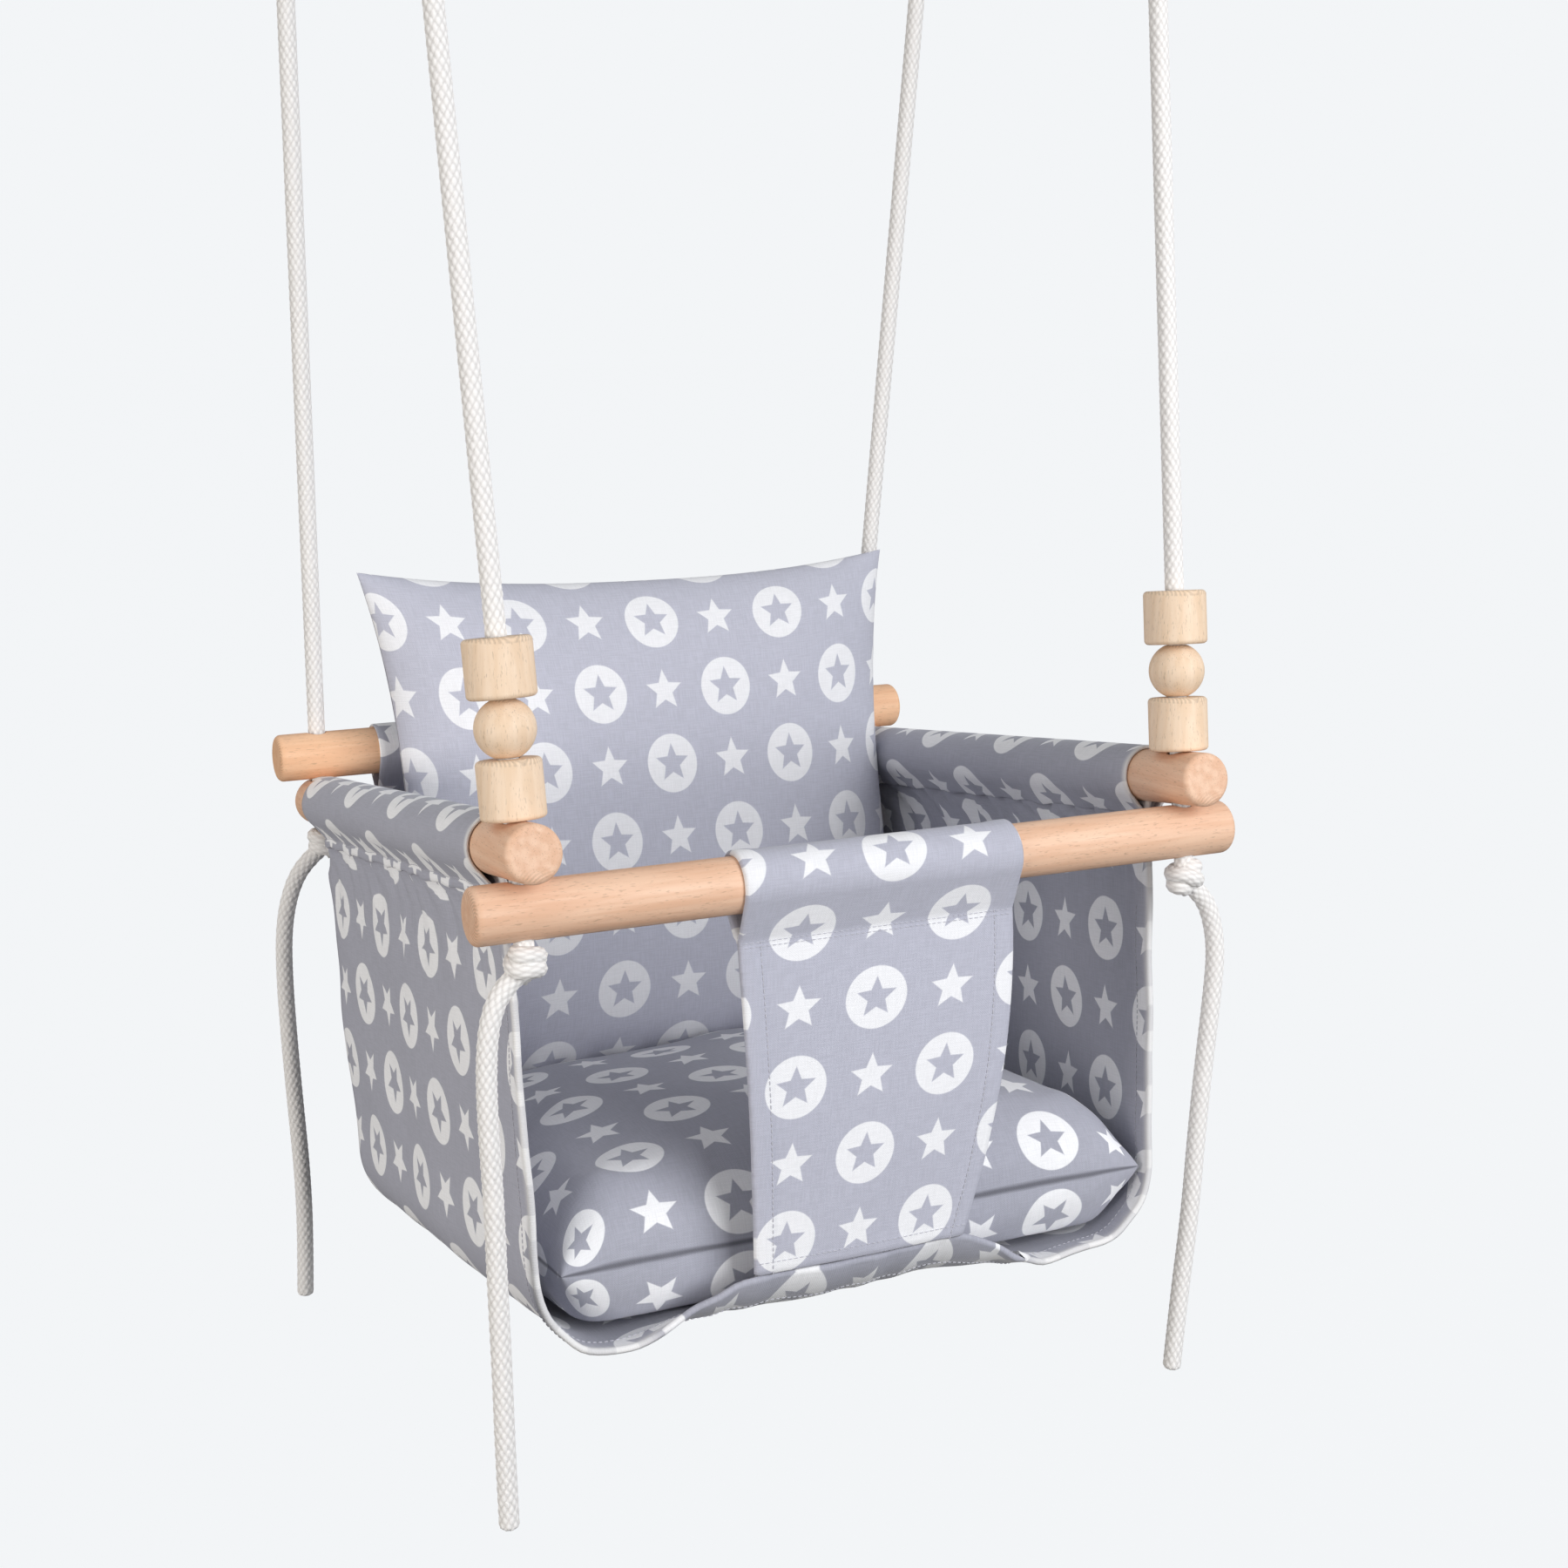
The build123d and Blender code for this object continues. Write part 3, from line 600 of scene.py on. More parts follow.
def build_print_group():
    """One cell of the print in turn with the next: a cut-out disc, then a star."""
    group, entry, leave = new_group(
        "star_print",
        (("Vector", "NodeSocketVector"), ("Disc", "NodeSocketFloat"), ("Cut Star", "NodeSocketFloat"),
         ("Star", "NodeSocketFloat")),
        ("Print",),
    )
    split = group.nodes.new("ShaderNodeSeparateXYZ")
    group.links.new(entry.outputs["Vector"], split.inputs[0])
    u, v = split.outputs["X"], split.outputs["Y"]
    x = value_node(group, "SUBTRACT", value_node(group, "FRACT", u), 0.5)
    y = value_node(group, "SUBTRACT", value_node(group, "FRACT", v), 0.5)
    cell = plus(group, value_node(group, "FLOOR", u), value_node(group, "FLOOR", v))
    turn = value_node(group, "FLOORED_MODULO", cell, 2.0)
    radius = radius_node(group, x, y)
    heading = value_node(group, "ABSOLUTE", value_node(group, "ARCTAN2", x, y))
    angle = value_node(group, "PINGPONG", heading, math.pi / 5)
    along = times(group, radius, value_node(group, "COSINE", angle))
    aside = times(group, radius, value_node(group, "SINE", angle))
    out, over = STAR_EDGE_NORMAL
    edge = value_node(
        group, "ADD",
        times(group, along, out), times(group, aside, over),
    )
    soft = 0.009

    def star(size):
        rim = times(group, entry.outputs[size], out)
        return ramp_node(group, value_node(group, "SUBTRACT", edge, rim), soft, -soft)

    disc = ramp_node(group, value_node(group, "SUBTRACT", radius, entry.outputs["Disc"]), soft, -soft)
    cut_disc = times(group, disc, value_node(group, "SUBTRACT", 1.0, star("Cut Star")))
    chosen = value_node(
        group, "ADD", times(group, cut_disc, value_node(group, "SUBTRACT", 1.0, turn)),
        times(group, star("Star"), turn),
    )
    group.links.new(chosen, leave.inputs["Print"])
    return group


def build_weave_group():
    """Plain weave on a map in metres, and the slubs of its threads."""
    group, entry, leave = new_group(
        "plain_weave", (("Vector", "NodeSocketVector"), ("Threads", "NodeSocketFloat")),
        ("Height", "Slub"),
    )
    split = group.nodes.new("ShaderNodeSeparateXYZ")
    group.links.new(entry.outputs["Vector"], split.inputs[0])
    waves = []
    for axis in ("X", "Y"):
        turn = times(group, split.outputs[axis], entry.outputs["Threads"])
        waves.append(value_node(group, "SINE", turn))
    weave = ramp_node(group, times(group, *waves), -1.0, 1.0, smooth=False)
    slubs = []
    for scale in ((1.0, 0.06, 1.0), (0.06, 1.0, 1.0)):
        stretched = group.nodes.new("ShaderNodeMapping")
        stretched.inputs["Scale"].default_value = scale
        group.links.new(entry.outputs["Vector"], stretched.inputs["Vector"])
        slubs.append(noise_node(group, stretched.outputs["Vector"], 1400.0, detail=1.0))
    slub = times(group, plus(group, *slubs), 0.5)
    group.links.new(weave, leave.inputs["Height"])
    group.links.new(slub, leave.inputs["Slub"])
    return group


print_group, weave_group = build_print_group(), build_weave_group()


def cloth_material(name, ground, white, pitch=PRINT_PITCH, shift=(0.0, 0.0)):
    """Printed canvas on a piece's own map, in metres; shift moves the print's cells."""
    material, tree, shader = new_material(name, 0.88, Sheen_Weight=0.18, Specular_IOR_Level=0.25)
    flat = tree.nodes.new("ShaderNodeUVMap")
    flat.uv_map = "UVMap"
    cells = tree.nodes.new("ShaderNodeMapping")
    cells.inputs["Location"].default_value = (*shift, 0.0)
    cells.inputs["Scale"].default_value = (1 / pitch, 1 / pitch, 1.0)
    tree.links.new(flat.outputs["UV"], cells.inputs["Vector"])
    printed = tree.nodes.new("ShaderNodeGroup")
    printed.node_tree = print_group
    printed.inputs["Disc"].default_value = 0.40
    printed.inputs["Cut Star"].default_value = 0.27
    printed.inputs["Star"].default_value = 0.29
    tree.links.new(cells.outputs["Vector"], printed.inputs["Vector"])
    woven = tree.nodes.new("ShaderNodeGroup")
    woven.node_tree = weave_group
    woven.inputs["Threads"].default_value = 2 * math.pi / 0.0013
    tree.links.new(flat.outputs["UV"], woven.inputs["Vector"])
    slub = woven.outputs["Slub"]
    grey_share, white_share = ramp_node(tree, slub, 0.38, 0.62), ramp_node(tree, slub, 0.35, 0.65)
    grey = mix_node(tree, grey_share, tuple(part * 0.90 for part in ground), ground)
    white = mix_node(tree, white_share, tuple(part * 0.93 for part in white), white)
    ink = times(tree, printed.outputs["Print"], 0.95)
    # Painted highlight: a pale band along the hemmed front edges, as light caught on the fold.
    edge_highlight = attribute_node(tree, "edge_highlight").outputs["Fac"]
    tint = mix_node(tree, ink, grey, white)
    tint = mix_node(tree, times(tree, edge_highlight, 0.75), tint, (0.80, 0.79, 0.78))
    # Painted shade: cloth along the marked cushion seams darkens towards near black, as shade in the
    # seam's groove.
    painted_seam_shade = ramp_node(tree, attribute_node(tree, "painted_seam_shade").outputs["Fac"], 0.45, 0.95, 0.0, 0.72)
    tint = mix_node(tree, painted_seam_shade, tint, (0.07, 0.07, 0.085))
    tree.links.new(tint, shader.inputs["Base Color"])
    height = plus(tree, times(tree, woven.outputs["Height"], 0.6), slub)
    add_bump(tree, shader, height, 0.00018, 0.7)
    return material


CLOTH_GREY = (0.43, 0.435, 0.505)
# Painted light: the strap's and pillow's lighter grey and softer white are lit copies of the one cloth.
STRAP_GREY_PAINTED_LIGHT = (0.50, 0.505, 0.588)
PILLOW_GREY_PAINTED_LIGHT = (0.54, 0.545, 0.63)
PRINT_WHITE = (0.97, 0.97, 0.985)
SOFT_WHITE_PAINTED_LIGHT = (0.90, 0.90, 0.92)

# --- Stitches ---
# Grey sewing thread in short lock stitches: under each channel, along the strap's turned
# edges and its foot, and beside the hems of the front edges.

STITCH_PITCH = 0.0032


def build_stitch_nodes():
    """Geometry nodes that set a short stitch of thread at even steps along each edge line."""
    group = bpy.data.node_groups.new("stitch_rows", "GeometryNodeTree")
    group.interface.new_socket("Lines", in_out="INPUT", socket_type="NodeSocketGeometry")
    group.interface.new_socket("Pitch", in_out="INPUT", socket_type="NodeSocketFloat")
    group.interface.new_socket("Thread Radius", in_out="INPUT", socket_type="NodeSocketFloat")
    group.interface.new_socket("Material", in_out="INPUT", socket_type="NodeSocketMaterial")
    group.interface.new_socket("Stitches", in_out="OUTPUT", socket_type="NodeSocketGeometry")
    entry, leave = group.nodes.new("NodeGroupInput"), group.nodes.new("NodeGroupOutput")

    def node(kind, **settings):
        made = group.nodes.new(kind)
        for name, setting in settings.items():
            setattr(made, name, setting)
        return made

    rows = node("GeometryNodeMeshToCurve")
    group.links.new(entry.outputs["Lines"], rows.inputs["Mesh"])
    places = node("GeometryNodeCurveToPoints", mode="LENGTH")
    group.links.new(rows.outputs["Curve"], places.inputs["Curve"])
    group.links.new(entry.outputs["Pitch"], places.inputs["Length"])
    thread = node("GeometryNodeMeshUVSphere")
    thread.inputs["Segments"].default_value = 8
    thread.inputs["Rings"].default_value = 6
    group.links.new(entry.outputs["Thread Radius"], thread.inputs["Radius"])
    stretch = node("GeometryNodeTransform")
    stretch.inputs["Scale"].default_value = (1.0, 0.75, 3.6)
    group.links.new(thread.outputs["Mesh"], stretch.inputs["Geometry"])
    put = node("GeometryNodeInstanceOnPoints")
    group.links.new(places.outputs["Points"], put.inputs["Points"])
    group.links.new(stretch.outputs["Geometry"], put.inputs["Instance"])
    group.links.new(places.outputs["Rotation"], put.inputs["Rotation"])
    whole = node("GeometryNodeRealizeInstances")
    group.links.new(put.outputs["Instances"], whole.inputs["Geometry"])
    smooth = node("GeometryNodeSetShadeSmooth")
    group.links.new(whole.outputs["Geometry"], smooth.inputs["Geometry"])
    dressed = node("GeometryNodeSetMaterial")
    group.links.new(smooth.outputs["Geometry"], dressed.inputs["Geometry"])
    group.links.new(entry.outputs["Material"], dressed.inputs["Material"])
    group.links.new(dressed.outputs["Geometry"], leave.inputs["Stitches"])
    return group


thread_material, tree, shader = new_material("sewing_thread", 0.6, Sheen_Weight=0.3)
place = tree.nodes.new("ShaderNodeTexCoord").outputs["Object"]
twist = noise_node(tree, place, 2600.0, detail=1.0)
thread_tint = mix_node(tree, twist, (0.42, 0.42, 0.47), (0.58, 0.58, 0.63))
tree.links.new(thread_tint, shader.inputs["Base Color"])
add_bump(tree, shader, twist, 0.0001, 0.5)
stitch_nodes = build_stitch_nodes()


def apply_modifiers(piece):
    """Makes what a piece's modifiers give its own mesh."""
    evaluated = piece.evaluated_get(bpy.context.evaluated_depsgraph_get())
    finished = bpy.data.meshes.new_from_object(evaluated)
    piece.modifiers.clear()
    piece.data = finished


def stitch_rows(name, rows):
    """Stitches along rows of points that already lie on the cloth."""
    starts = np.cumsum([0] + [len(row) for row in rows])
    edges = [
        (first + step, first + step + 1)
        for first, row in zip(starts, rows) for step in range(len(row) - 1)
    ]
    mesh = bpy.data.meshes.new(name)
    mesh.from_pydata(np.concatenate(rows).tolist(), edges, [])
    piece = bpy.data.objects.new(name, mesh)
    bpy.context.scene.collection.objects.link(piece)
    sewing = piece.modifiers.new("sewing", "NODES")
    sewing.node_group = stitch_nodes
    sockets = {socket.name: socket.identifier for socket in stitch_nodes.interface.items_tree}
    sewing[sockets["Pitch"]] = STITCH_PITCH
    sewing[sockets["Thread Radius"]] = 0.00034
    sewing[sockets["Material"]] = thread_material
    apply_modifiers(piece)
    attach(piece, "seat")


def surface_normals(grid):
    """Unit normals of a grid of points."""
    normal = np.cross(np.gradient(grid, axis=0), np.gradient(grid, axis=1))
    return normal / np.maximum(np.linalg.norm(normal, axis=2), 1e-12)[..., None]


def both_faces(grid, wall, rows):
    """Rows and columns picked from a cloth grid, on its one face and its other."""
    lifted = surface_normals(grid) * (np.broadcast_to(wall, grid.shape[:2]) / 2 + 0.0002)[..., None]
    return [hung((grid + face * lifted)[row, column]) for row, column in rows for face in (1, -1)]


# --- Side panels and bottom ---
# One length of canvas, doubled, goes down one side, across the bottom and up the other.
# Its front edges are hemmed, and its bottom is pulled up in a lip where the strap is sewn.

FRONT_Y = -0.168
SIDE_BACK_Y = 0.180
SEAT_DEPTH = 0.2625
SIDE_PITCH = 0.0475
CORNER_RADIUS = 0.040
BACK_LEAN = 38 / 264


def smooth_step(value, low, high):
    share = np.clip((value - low) / (high - low), 0, 1)
    return share * share * (3 - 2 * share)


def grid_quads(index):
    """The corners of each cell of a grid of point numbers."""
    corners = [index[:-1, :-1], index[1:, :-1], index[1:, 1:], index[:-1, 1:]]
    return np.stack(corners, -1).reshape(-1, 4)


def soft_noise(a, b, size, seed):
    """Smooth seeded noise over two grids of places."""
    return np.array([
        noise.noise(Vector((x / size, y / size, seed))) for x, y in zip(a.ravel(), b.ravel())
    ]).reshape(a.shape)


def cloth_shell(name, grid, uv, thickness, material, edge_highlight=None):
    """A closed cloth wall round a grid of middle points, with rounded rims."""
    rows, columns = grid.shape[:2]
    thickness = np.broadcast_to(np.asarray(thickness, float), (rows, columns))[..., None]
    normal = surface_normals(grid)
    outer, inner = grid + normal * thickness / 2, grid - normal * thickness / 2
    index = np.arange(rows * columns).reshape(rows, columns)
    border = np.concatenate([index[0, :-1], index[:-1, -1], index[-1, :0:-1], index[:0:-1, 0]])
    inward = np.concatenate([index[1, :-1], index[:-1, -2], index[-2, :0:-1], index[:0:-1, 1]])
    flat_grid = grid.reshape(-1, 3)
    out = flat_grid[border] - flat_grid[inward]
    out /= np.maximum(np.linalg.norm(out, axis=1), 1e-9)[:, None]
    rim = flat_grid[border] + out * thickness.reshape(-1, 1)[border] * 0.42
    points = np.concatenate([outer.reshape(-1, 3), inner.reshape(-1, 3), rim])
    count = rows * columns
    quads = grid_quads(index)
    rim_index = 2 * count + np.arange(len(border))
    ahead, rim_ahead = np.roll(border, -1), np.roll(rim_index, -1)
    faces = np.concatenate([
        quads, quads[:, ::-1] + count,
        np.stack([border, ahead, rim_ahead, rim_index], -1),
        np.stack([rim_index, rim_ahead, ahead + count, border + count], -1),
    ])
    flat_uv = uv.reshape(-1, 2)
    all_uv = np.concatenate([flat_uv, flat_uv, flat_uv[border]])
    piece = new_mesh(name, points, faces.tolist(), material, all_uv[faces.ravel()])
    marks = np.zeros(len(points), np.float32)
    # These marks place the painted highlight along the cloth's hemmed edge.
    if edge_highlight is not None:
        marks[:count] = marks[count:2 * count] = edge_highlight.ravel()
        marks[2 * count:] = np.maximum(edge_highlight.ravel()[border], 0)
    layer = piece.data.attributes.new("edge_highlight", "FLOAT", "POINT")
    layer.data.foreach_set("value", marks)
    return piece


half = CROSS_HOLE_SPACING / 2
top_z = -0.014
straight = SEAT_DEPTH - CORNER_RADIUS + top_z
turn_length = CORNER_RADIUS * math.pi / 2
floor_length = 2 * (half - CORNER_RADIUS)
total = 2 * straight + 2 * turn_length + floor_length
places = np.linspace(0, total, 190)
section = np.zeros((len(places), 2))
for row, place in enumerate(places):
    from_side = min(place, total - place)
    sign = -1 if place < total / 2 else 1
    if from_side < straight:
        section[row] = (sign * half, top_z - from_side)
    elif from_side < straight + turn_length:
        angle = (from_side - straight) / CORNER_RADIUS
        section[row] = (
            sign * (half - CORNER_RADIUS + CORNER_RADIUS * math.cos(angle)),
            top_z - straight - CORNER_RADIUS * math.sin(angle),
        )
    else:
        inward = from_side - straight - turn_length
        section[row] = (sign * (half - CORNER_RADIUS - inward), -SEAT_DEPTH)
depth_share = np.linspace(0, 1, 84) ** 1.3
x = np.repeat(section[:, :1], len(depth_share), 1)
z = np.repeat(section[:, 1:], len(depth_share), 1)
back_edge = np.minimum(0.197 + BACK_LEAN * z, SIDE_BACK_Y + 0.25 * np.clip(-z - 0.014, 0, 0.06))
y = FRONT_Y + (back_edge - FRONT_Y) * depth_share[None]
front_pull = 1 - smooth_step(y, FRONT_Y, 0.05)
x = x + front_pull * np.where(x < 0, 0.004, -0.012) * np.clip(-z / 0.2, 0, 1) * (np.abs(x) > 0.1)
on_floor = smooth_step(-z, 0.225, 0.255)
corner_sag = 0.0055 * np.exp(-(((x + 0.148) / 0.030) ** 2))
corner_sag += 0.0035 * np.exp(-(((x - 0.112) / 0.035) ** 2))
z = z - on_floor * front_pull * (0.0020 + corner_sag)
lift = smooth_step(x, -0.142, -0.072) * (1 - smooth_step(x, 0.040, 0.110))
curl = np.clip(1 - (y - FRONT_Y) / 0.021, 0, 1) * math.pi / 2
z = z + on_floor * lift * 0.025 * (1 - np.cos(curl))
y = y - on_floor * lift * 0.018 * np.sin(curl) ** 1.3
panel = np.stack([x, y, z], -1)
normal = surface_normals(panel)
along_s = np.repeat(places[:, None], len(depth_share), 1)
below_channel = np.minimum(along_s, total - along_s)
on_side = smooth_step(np.abs(x), half - 0.030, half - 0.015)
shear = 0.060 * (np.clip(0.050 + z, 0, 0.036) / 0.036) ** 2 * on_side
pull_line = (y - shear) * 2 * np.pi
pleats = np.sin(pull_line / 0.027 + 1.3 * np.sin(y * 60))
pleats += 0.6 * np.sin(pull_line / 0.0115 + 2.0 * np.sin(y * 41))
fade = np.exp(-np.clip(below_channel - 0.012, 0, None) / 0.026)
fade = fade * smooth_step(below_channel, 0.0, 0.010) * on_side
swell = soft_noise(along_s, y, 0.085, 3.1) * 0.0034 + soft_noise(along_s, y, 0.035, 7.7) * 0.0012
calm = smooth_step(below_channel, 0.0, 0.05)
gathers = np.sin(x * 2 * np.pi / 0.031 + 1.5 * np.sin(x * 70)) * 0.0006
gathers = gathers * on_floor * np.exp(-np.clip(y - FRONT_Y, 0, None) / 0.030)
panel += normal * (pleats * fade * 0.0021 + swell * calm + gathers)[..., None]
# Painted highlight along the hemmed front edge, faded where the lip curls up into shade.
front_edge_highlight = np.exp(-(((y - FRONT_Y) / 0.0024) ** 2)) * (1 - 0.7 * on_floor * lift)
edge_wall = 0.0024 + 0.0012 * (1 - smooth_step(y, FRONT_Y + 0.010, FRONT_Y + 0.0135))
far_side = smooth_step(x, -0.12, 0.15)
right_row = total - 0.079
drift_y = 0.0690 + 0.0275 - 2 * SIDE_PITCH
drift_s = 0.0525 + SIDE_PITCH * round((right_row - 0.0525) / (2 * SIDE_PITCH)) * 2 - right_row
panel_uv = np.stack([y - shear + drift_y * far_side, along_s + drift_s * far_side], -1)
panel_material = cloth_material("canvas_side", CLOTH_GREY, PRINT_WHITE, SIDE_PITCH, (-0.9526, 1.3947))
sling = cloth_shell("sewn_seat", hung(panel), panel_uv, edge_wall, panel_material, front_edge_highlight)
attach(sling, "seat")
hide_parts("left_side_panel", "right_side_panel", "seat_bottom")
beside_hem = int(np.abs(depth_share * (SIDE_BACK_Y - FRONT_Y) - 0.0105).argmin())
stitch_rows("hem_stitches", both_faces(panel, edge_wall, [(slice(14, -14), beside_hem)]))

# --- Channels ---
# The canvas is folded over each dowel and stitched to itself below it. The side
# channels' lower edge is a fold that stands out over the gathered panel.


def channel_section(radius, stitch_depth, tuck, flap):
    """The middle line of a channel: up inside, over the dowel, down to its flap."""
    touch = math.acos(radius / stitch_depth)
    start = -math.pi / 2 + touch
    arc = np.linspace(start, math.pi * 1.5 - touch, 44)
    over = np.stack([radius * np.cos(arc), radius * np.sin(arc)], 1)
    rise = np.linspace(0, 1, 8)[:-1, None]
    low = np.array([[tuck, -stitch_depth]])
    inside = low + (over[0] - low) * rise
    low = np.array([[-tuck, -stitch_depth]])
    outside = over[-1] + (low - over[-1]) * np.linspace(0, 1, 8)[1:, None]
    end = np.array([[-tuck * 1.25, -stitch_depth - flap * share] for share in (0.4, 0.7, 1.0)])
    return np.concatenate([inside, over, outside, end])


channel_wall = DOWEL_DIAMETER / 2 + 0.0003 + CLOTH_THICKNESS / 2
for side, sign in SIDES.items():
    outline = channel_section(channel_wall, 0.0215, 0.0028, 0.005)
    run = lengths(outline)
    depth = np.linspace(FRONT_Y, SIDE_BACK_Y, 90)
    across = np.repeat(outline[:, :1], len(depth), 1)
    height = np.repeat(outline[:, 1:], len(depth), 1)
    y = np.repeat(depth[None], len(outline), 0)
    loose = smooth_step(-height, 0.004, 0.018)
    gather = np.sin(y * 2 * np.pi / 0.033 + 2.2 * np.sin(y * 37) + sign) * 0.0007 * loose
    slack = soft_noise(height * 2, y, 0.03, 5.5) * 0.0006
    grown = 1 + np.clip(slack + np.abs(slack) + np.maximum(gather, 0), 0, None) / channel_wall
    grid = np.stack([sign * (half - across * grown), y, height * grown], -1)
    if sign < 0:
        grid = grid[::-1]
        run = run[::-1]
    uv = np.stack([y, np.repeat(run[:, None], len(depth), 1)], -1)
    # Painted highlight along the channel's hemmed front edge.
    edge_highlight = np.exp(-(((y - FRONT_Y) / 0.002) ** 2))
    sewn_row = 3 if sign < 0 else -4
    sewn_rows = both_faces(grid, CLOTH_THICKNESS, [(sewn_row, slice(2, -2))])
    stitch_rows(f"{side}_channel_stitches", sewn_rows)
    sleeve = cloth_shell(f"{side}_channel", hung(grid), uv, CLOTH_THICKNESS, panel_material, edge_highlight)
    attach(sleeve, "seat")
    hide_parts(f"{side}_sleeve")

# --- Back ---
# A leaning panel from the channel round the back dowel down to the bottom, narrow
# between the side dowels and sewn to the side panels' back edges below them.

outline = channel_section(channel_wall, 0.028, 0.0016, 0.0)[:-3]
shoulder = half - 0.037
count_across = 84
share = np.linspace(-1, 1, count_across)
lean_run = np.linspace(0.028, 0.2925, 70)[1:]
back_rows = []
for across, height in outline:
    back_rows.append(np.stack([
        share * shoulder, np.full(count_across, SIDE_HOLE_SPACING / 2 + across),
        np.full(count_across, DOWEL_DIAMETER + height),
    ], 1))
for drop in lean_run:
    height = DOWEL_DIAMETER - drop
    widen = smooth_step(-height, -0.012, 0.046)
    width = shoulder + (half - 0.001 - shoulder) * widen
    floor_gap = height + SEAT_DEPTH
    if floor_gap < CORNER_RADIUS:
        in_turn = max(CORNER_RADIUS ** 2 - (CORNER_RADIUS - floor_gap) ** 2, 0)
        width = half - CORNER_RADIUS + math.sqrt(in_turn)
    back_rows.append(np.stack([
        share * width, np.full(count_across, SIDE_HOLE_SPACING / 2 + BACK_LEAN * height),
        np.full(count_across, height),
    ], 1))
back = np.array(back_rows)
run = lengths(back[:, count_across // 2])
along = np.repeat(run[:, None], count_across, 1)
normal = surface_normals(back)
bulge = np.cos(back[..., 0] / half * np.pi / 2) * smooth_step(along, 0.13, 0.25)
bulge = bulge * (1 - smooth_step(along, 0.33, 0.40))
ripple = soft_noise(back[..., 0], along, 0.06, 2.4) * 0.0022 * smooth_step(along, 0.10, 0.16)
back[..., 1] += bulge * 0.010 + ripple
back_uv = np.stack([back[..., 0], -along], -1)
back_material = cloth_material("canvas_back", CLOTH_GREY, PRINT_WHITE)
back_piece = cloth_shell("sewn_back", hung(back), back_uv, CLOTH_THICKNESS * 1.1, back_material)
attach(back_piece, "seat")
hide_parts("back_panel", "back_sleeve")
back_seam = len(outline) - 1
stitch_rows("back_stitches", both_faces(back, CLOTH_THICKNESS * 1.1, [(back_seam, slice(2, -2))]))

# --- Front strap ---
# A doubled strap between the child's legs: round the front dowel, stitched below it,
# and down to the lip of the bottom. It tapers, and its edges are turned in and sewn.

STRAP_COLUMNS = 60
outline = channel_section(channel_wall, 0.030, 0.0014, 0.0)[:-3]
strap_share = np.linspace(-1, 1, STRAP_COLUMNS)
line = [(-SIDE_HOLE_SPACING / 2 + across, -DOWEL_DIAMETER + height) for across, height in outline]
foot_y, foot_z = -0.1892, -0.2370
start_y, start_z = line[-1]
for step in np.linspace(0, 1, 62)[1:]:
    belly = -0.0035 * math.sin(math.pi * step)
    line.append((start_y + (foot_y - start_y) * step + belly, start_z + (foot_z - start_z) * step))
line = np.array(line)
run = lengths(line)
drop = np.clip((start_z - line[:, 1]) / (start_z - foot_z), 0, 1)
drop[:len(outline)] = 0
taper = 0.0802 - 0.0190 * drop ** 1.7
centre = -0.0160 * drop ** 2
x = centre[:, None] + strap_share[None] * taper[:, None]
flat_line = np.repeat(line[:, None], STRAP_COLUMNS, 1)
strap = np.stack([x, flat_line[..., 0], flat_line[..., 1]], -1)
s_run = np.repeat(run[:, None], STRAP_COLUMNS, 1) - run[len(outline) - 1]
cup = (np.abs(strap_share) ** 4)[None] * 0.002 * drop[:, None]
ripples = soft_noise(x, s_run, 0.05, 9.2) * 0.0014 * drop[:, None]
strap[..., 1] += cup + ripples
below = np.maximum(s_run, 0)
squeezed = 1 / (1 - 0.118 * below / 0.183)
column = -0.0007 + 0.125 * (s_run + 0.0035)
strap_uv = np.stack([(x + column) * squeezed, -(s_run + 0.0035) * 1.126], -1)
from_side = np.minimum(1 - strap_share, 1 + strap_share)[None] * taper[:, None]
wall = 0.0026 + 0.0011 * (1 - smooth_step(from_side, 0.009, 0.0115))
# The strap's cloth is a lit copy of the canvas: painted light.
strap_material = cloth_material("canvas_strap_painted_light", STRAP_GREY_PAINTED_LIGHT, SOFT_WHITE_PAINTED_LIGHT, 0.0465, (0.5, 1.5))
strap_piece = cloth_shell("sewn_strap", hung(strap), strap_uv, wall, strap_material)
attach(strap_piece, "seat")
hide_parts("strap_sleeve", "crotch_strap")
seam = len(outline) - 1
down = slice(seam, None)
stitch_rows("strap_stitches", both_faces(strap, wall, [
    (seam, slice(1, -1)), (seam + 1, slice(1, -1)), (down, 4), (down, -5), (-3, slice(1, -1)),
]))

# --- Cushions ---
# Two loose cushions of the same canvas, filled with polyester wadding: a fat square
# seat cushion and a taller one that leans on the back. One seam runs round each.

CUSHION_CELLS = 56
CUSHION_PITCH = 0.0475
SETTLING_FRAMES = 20
PILLOW_DROP = 0.0265


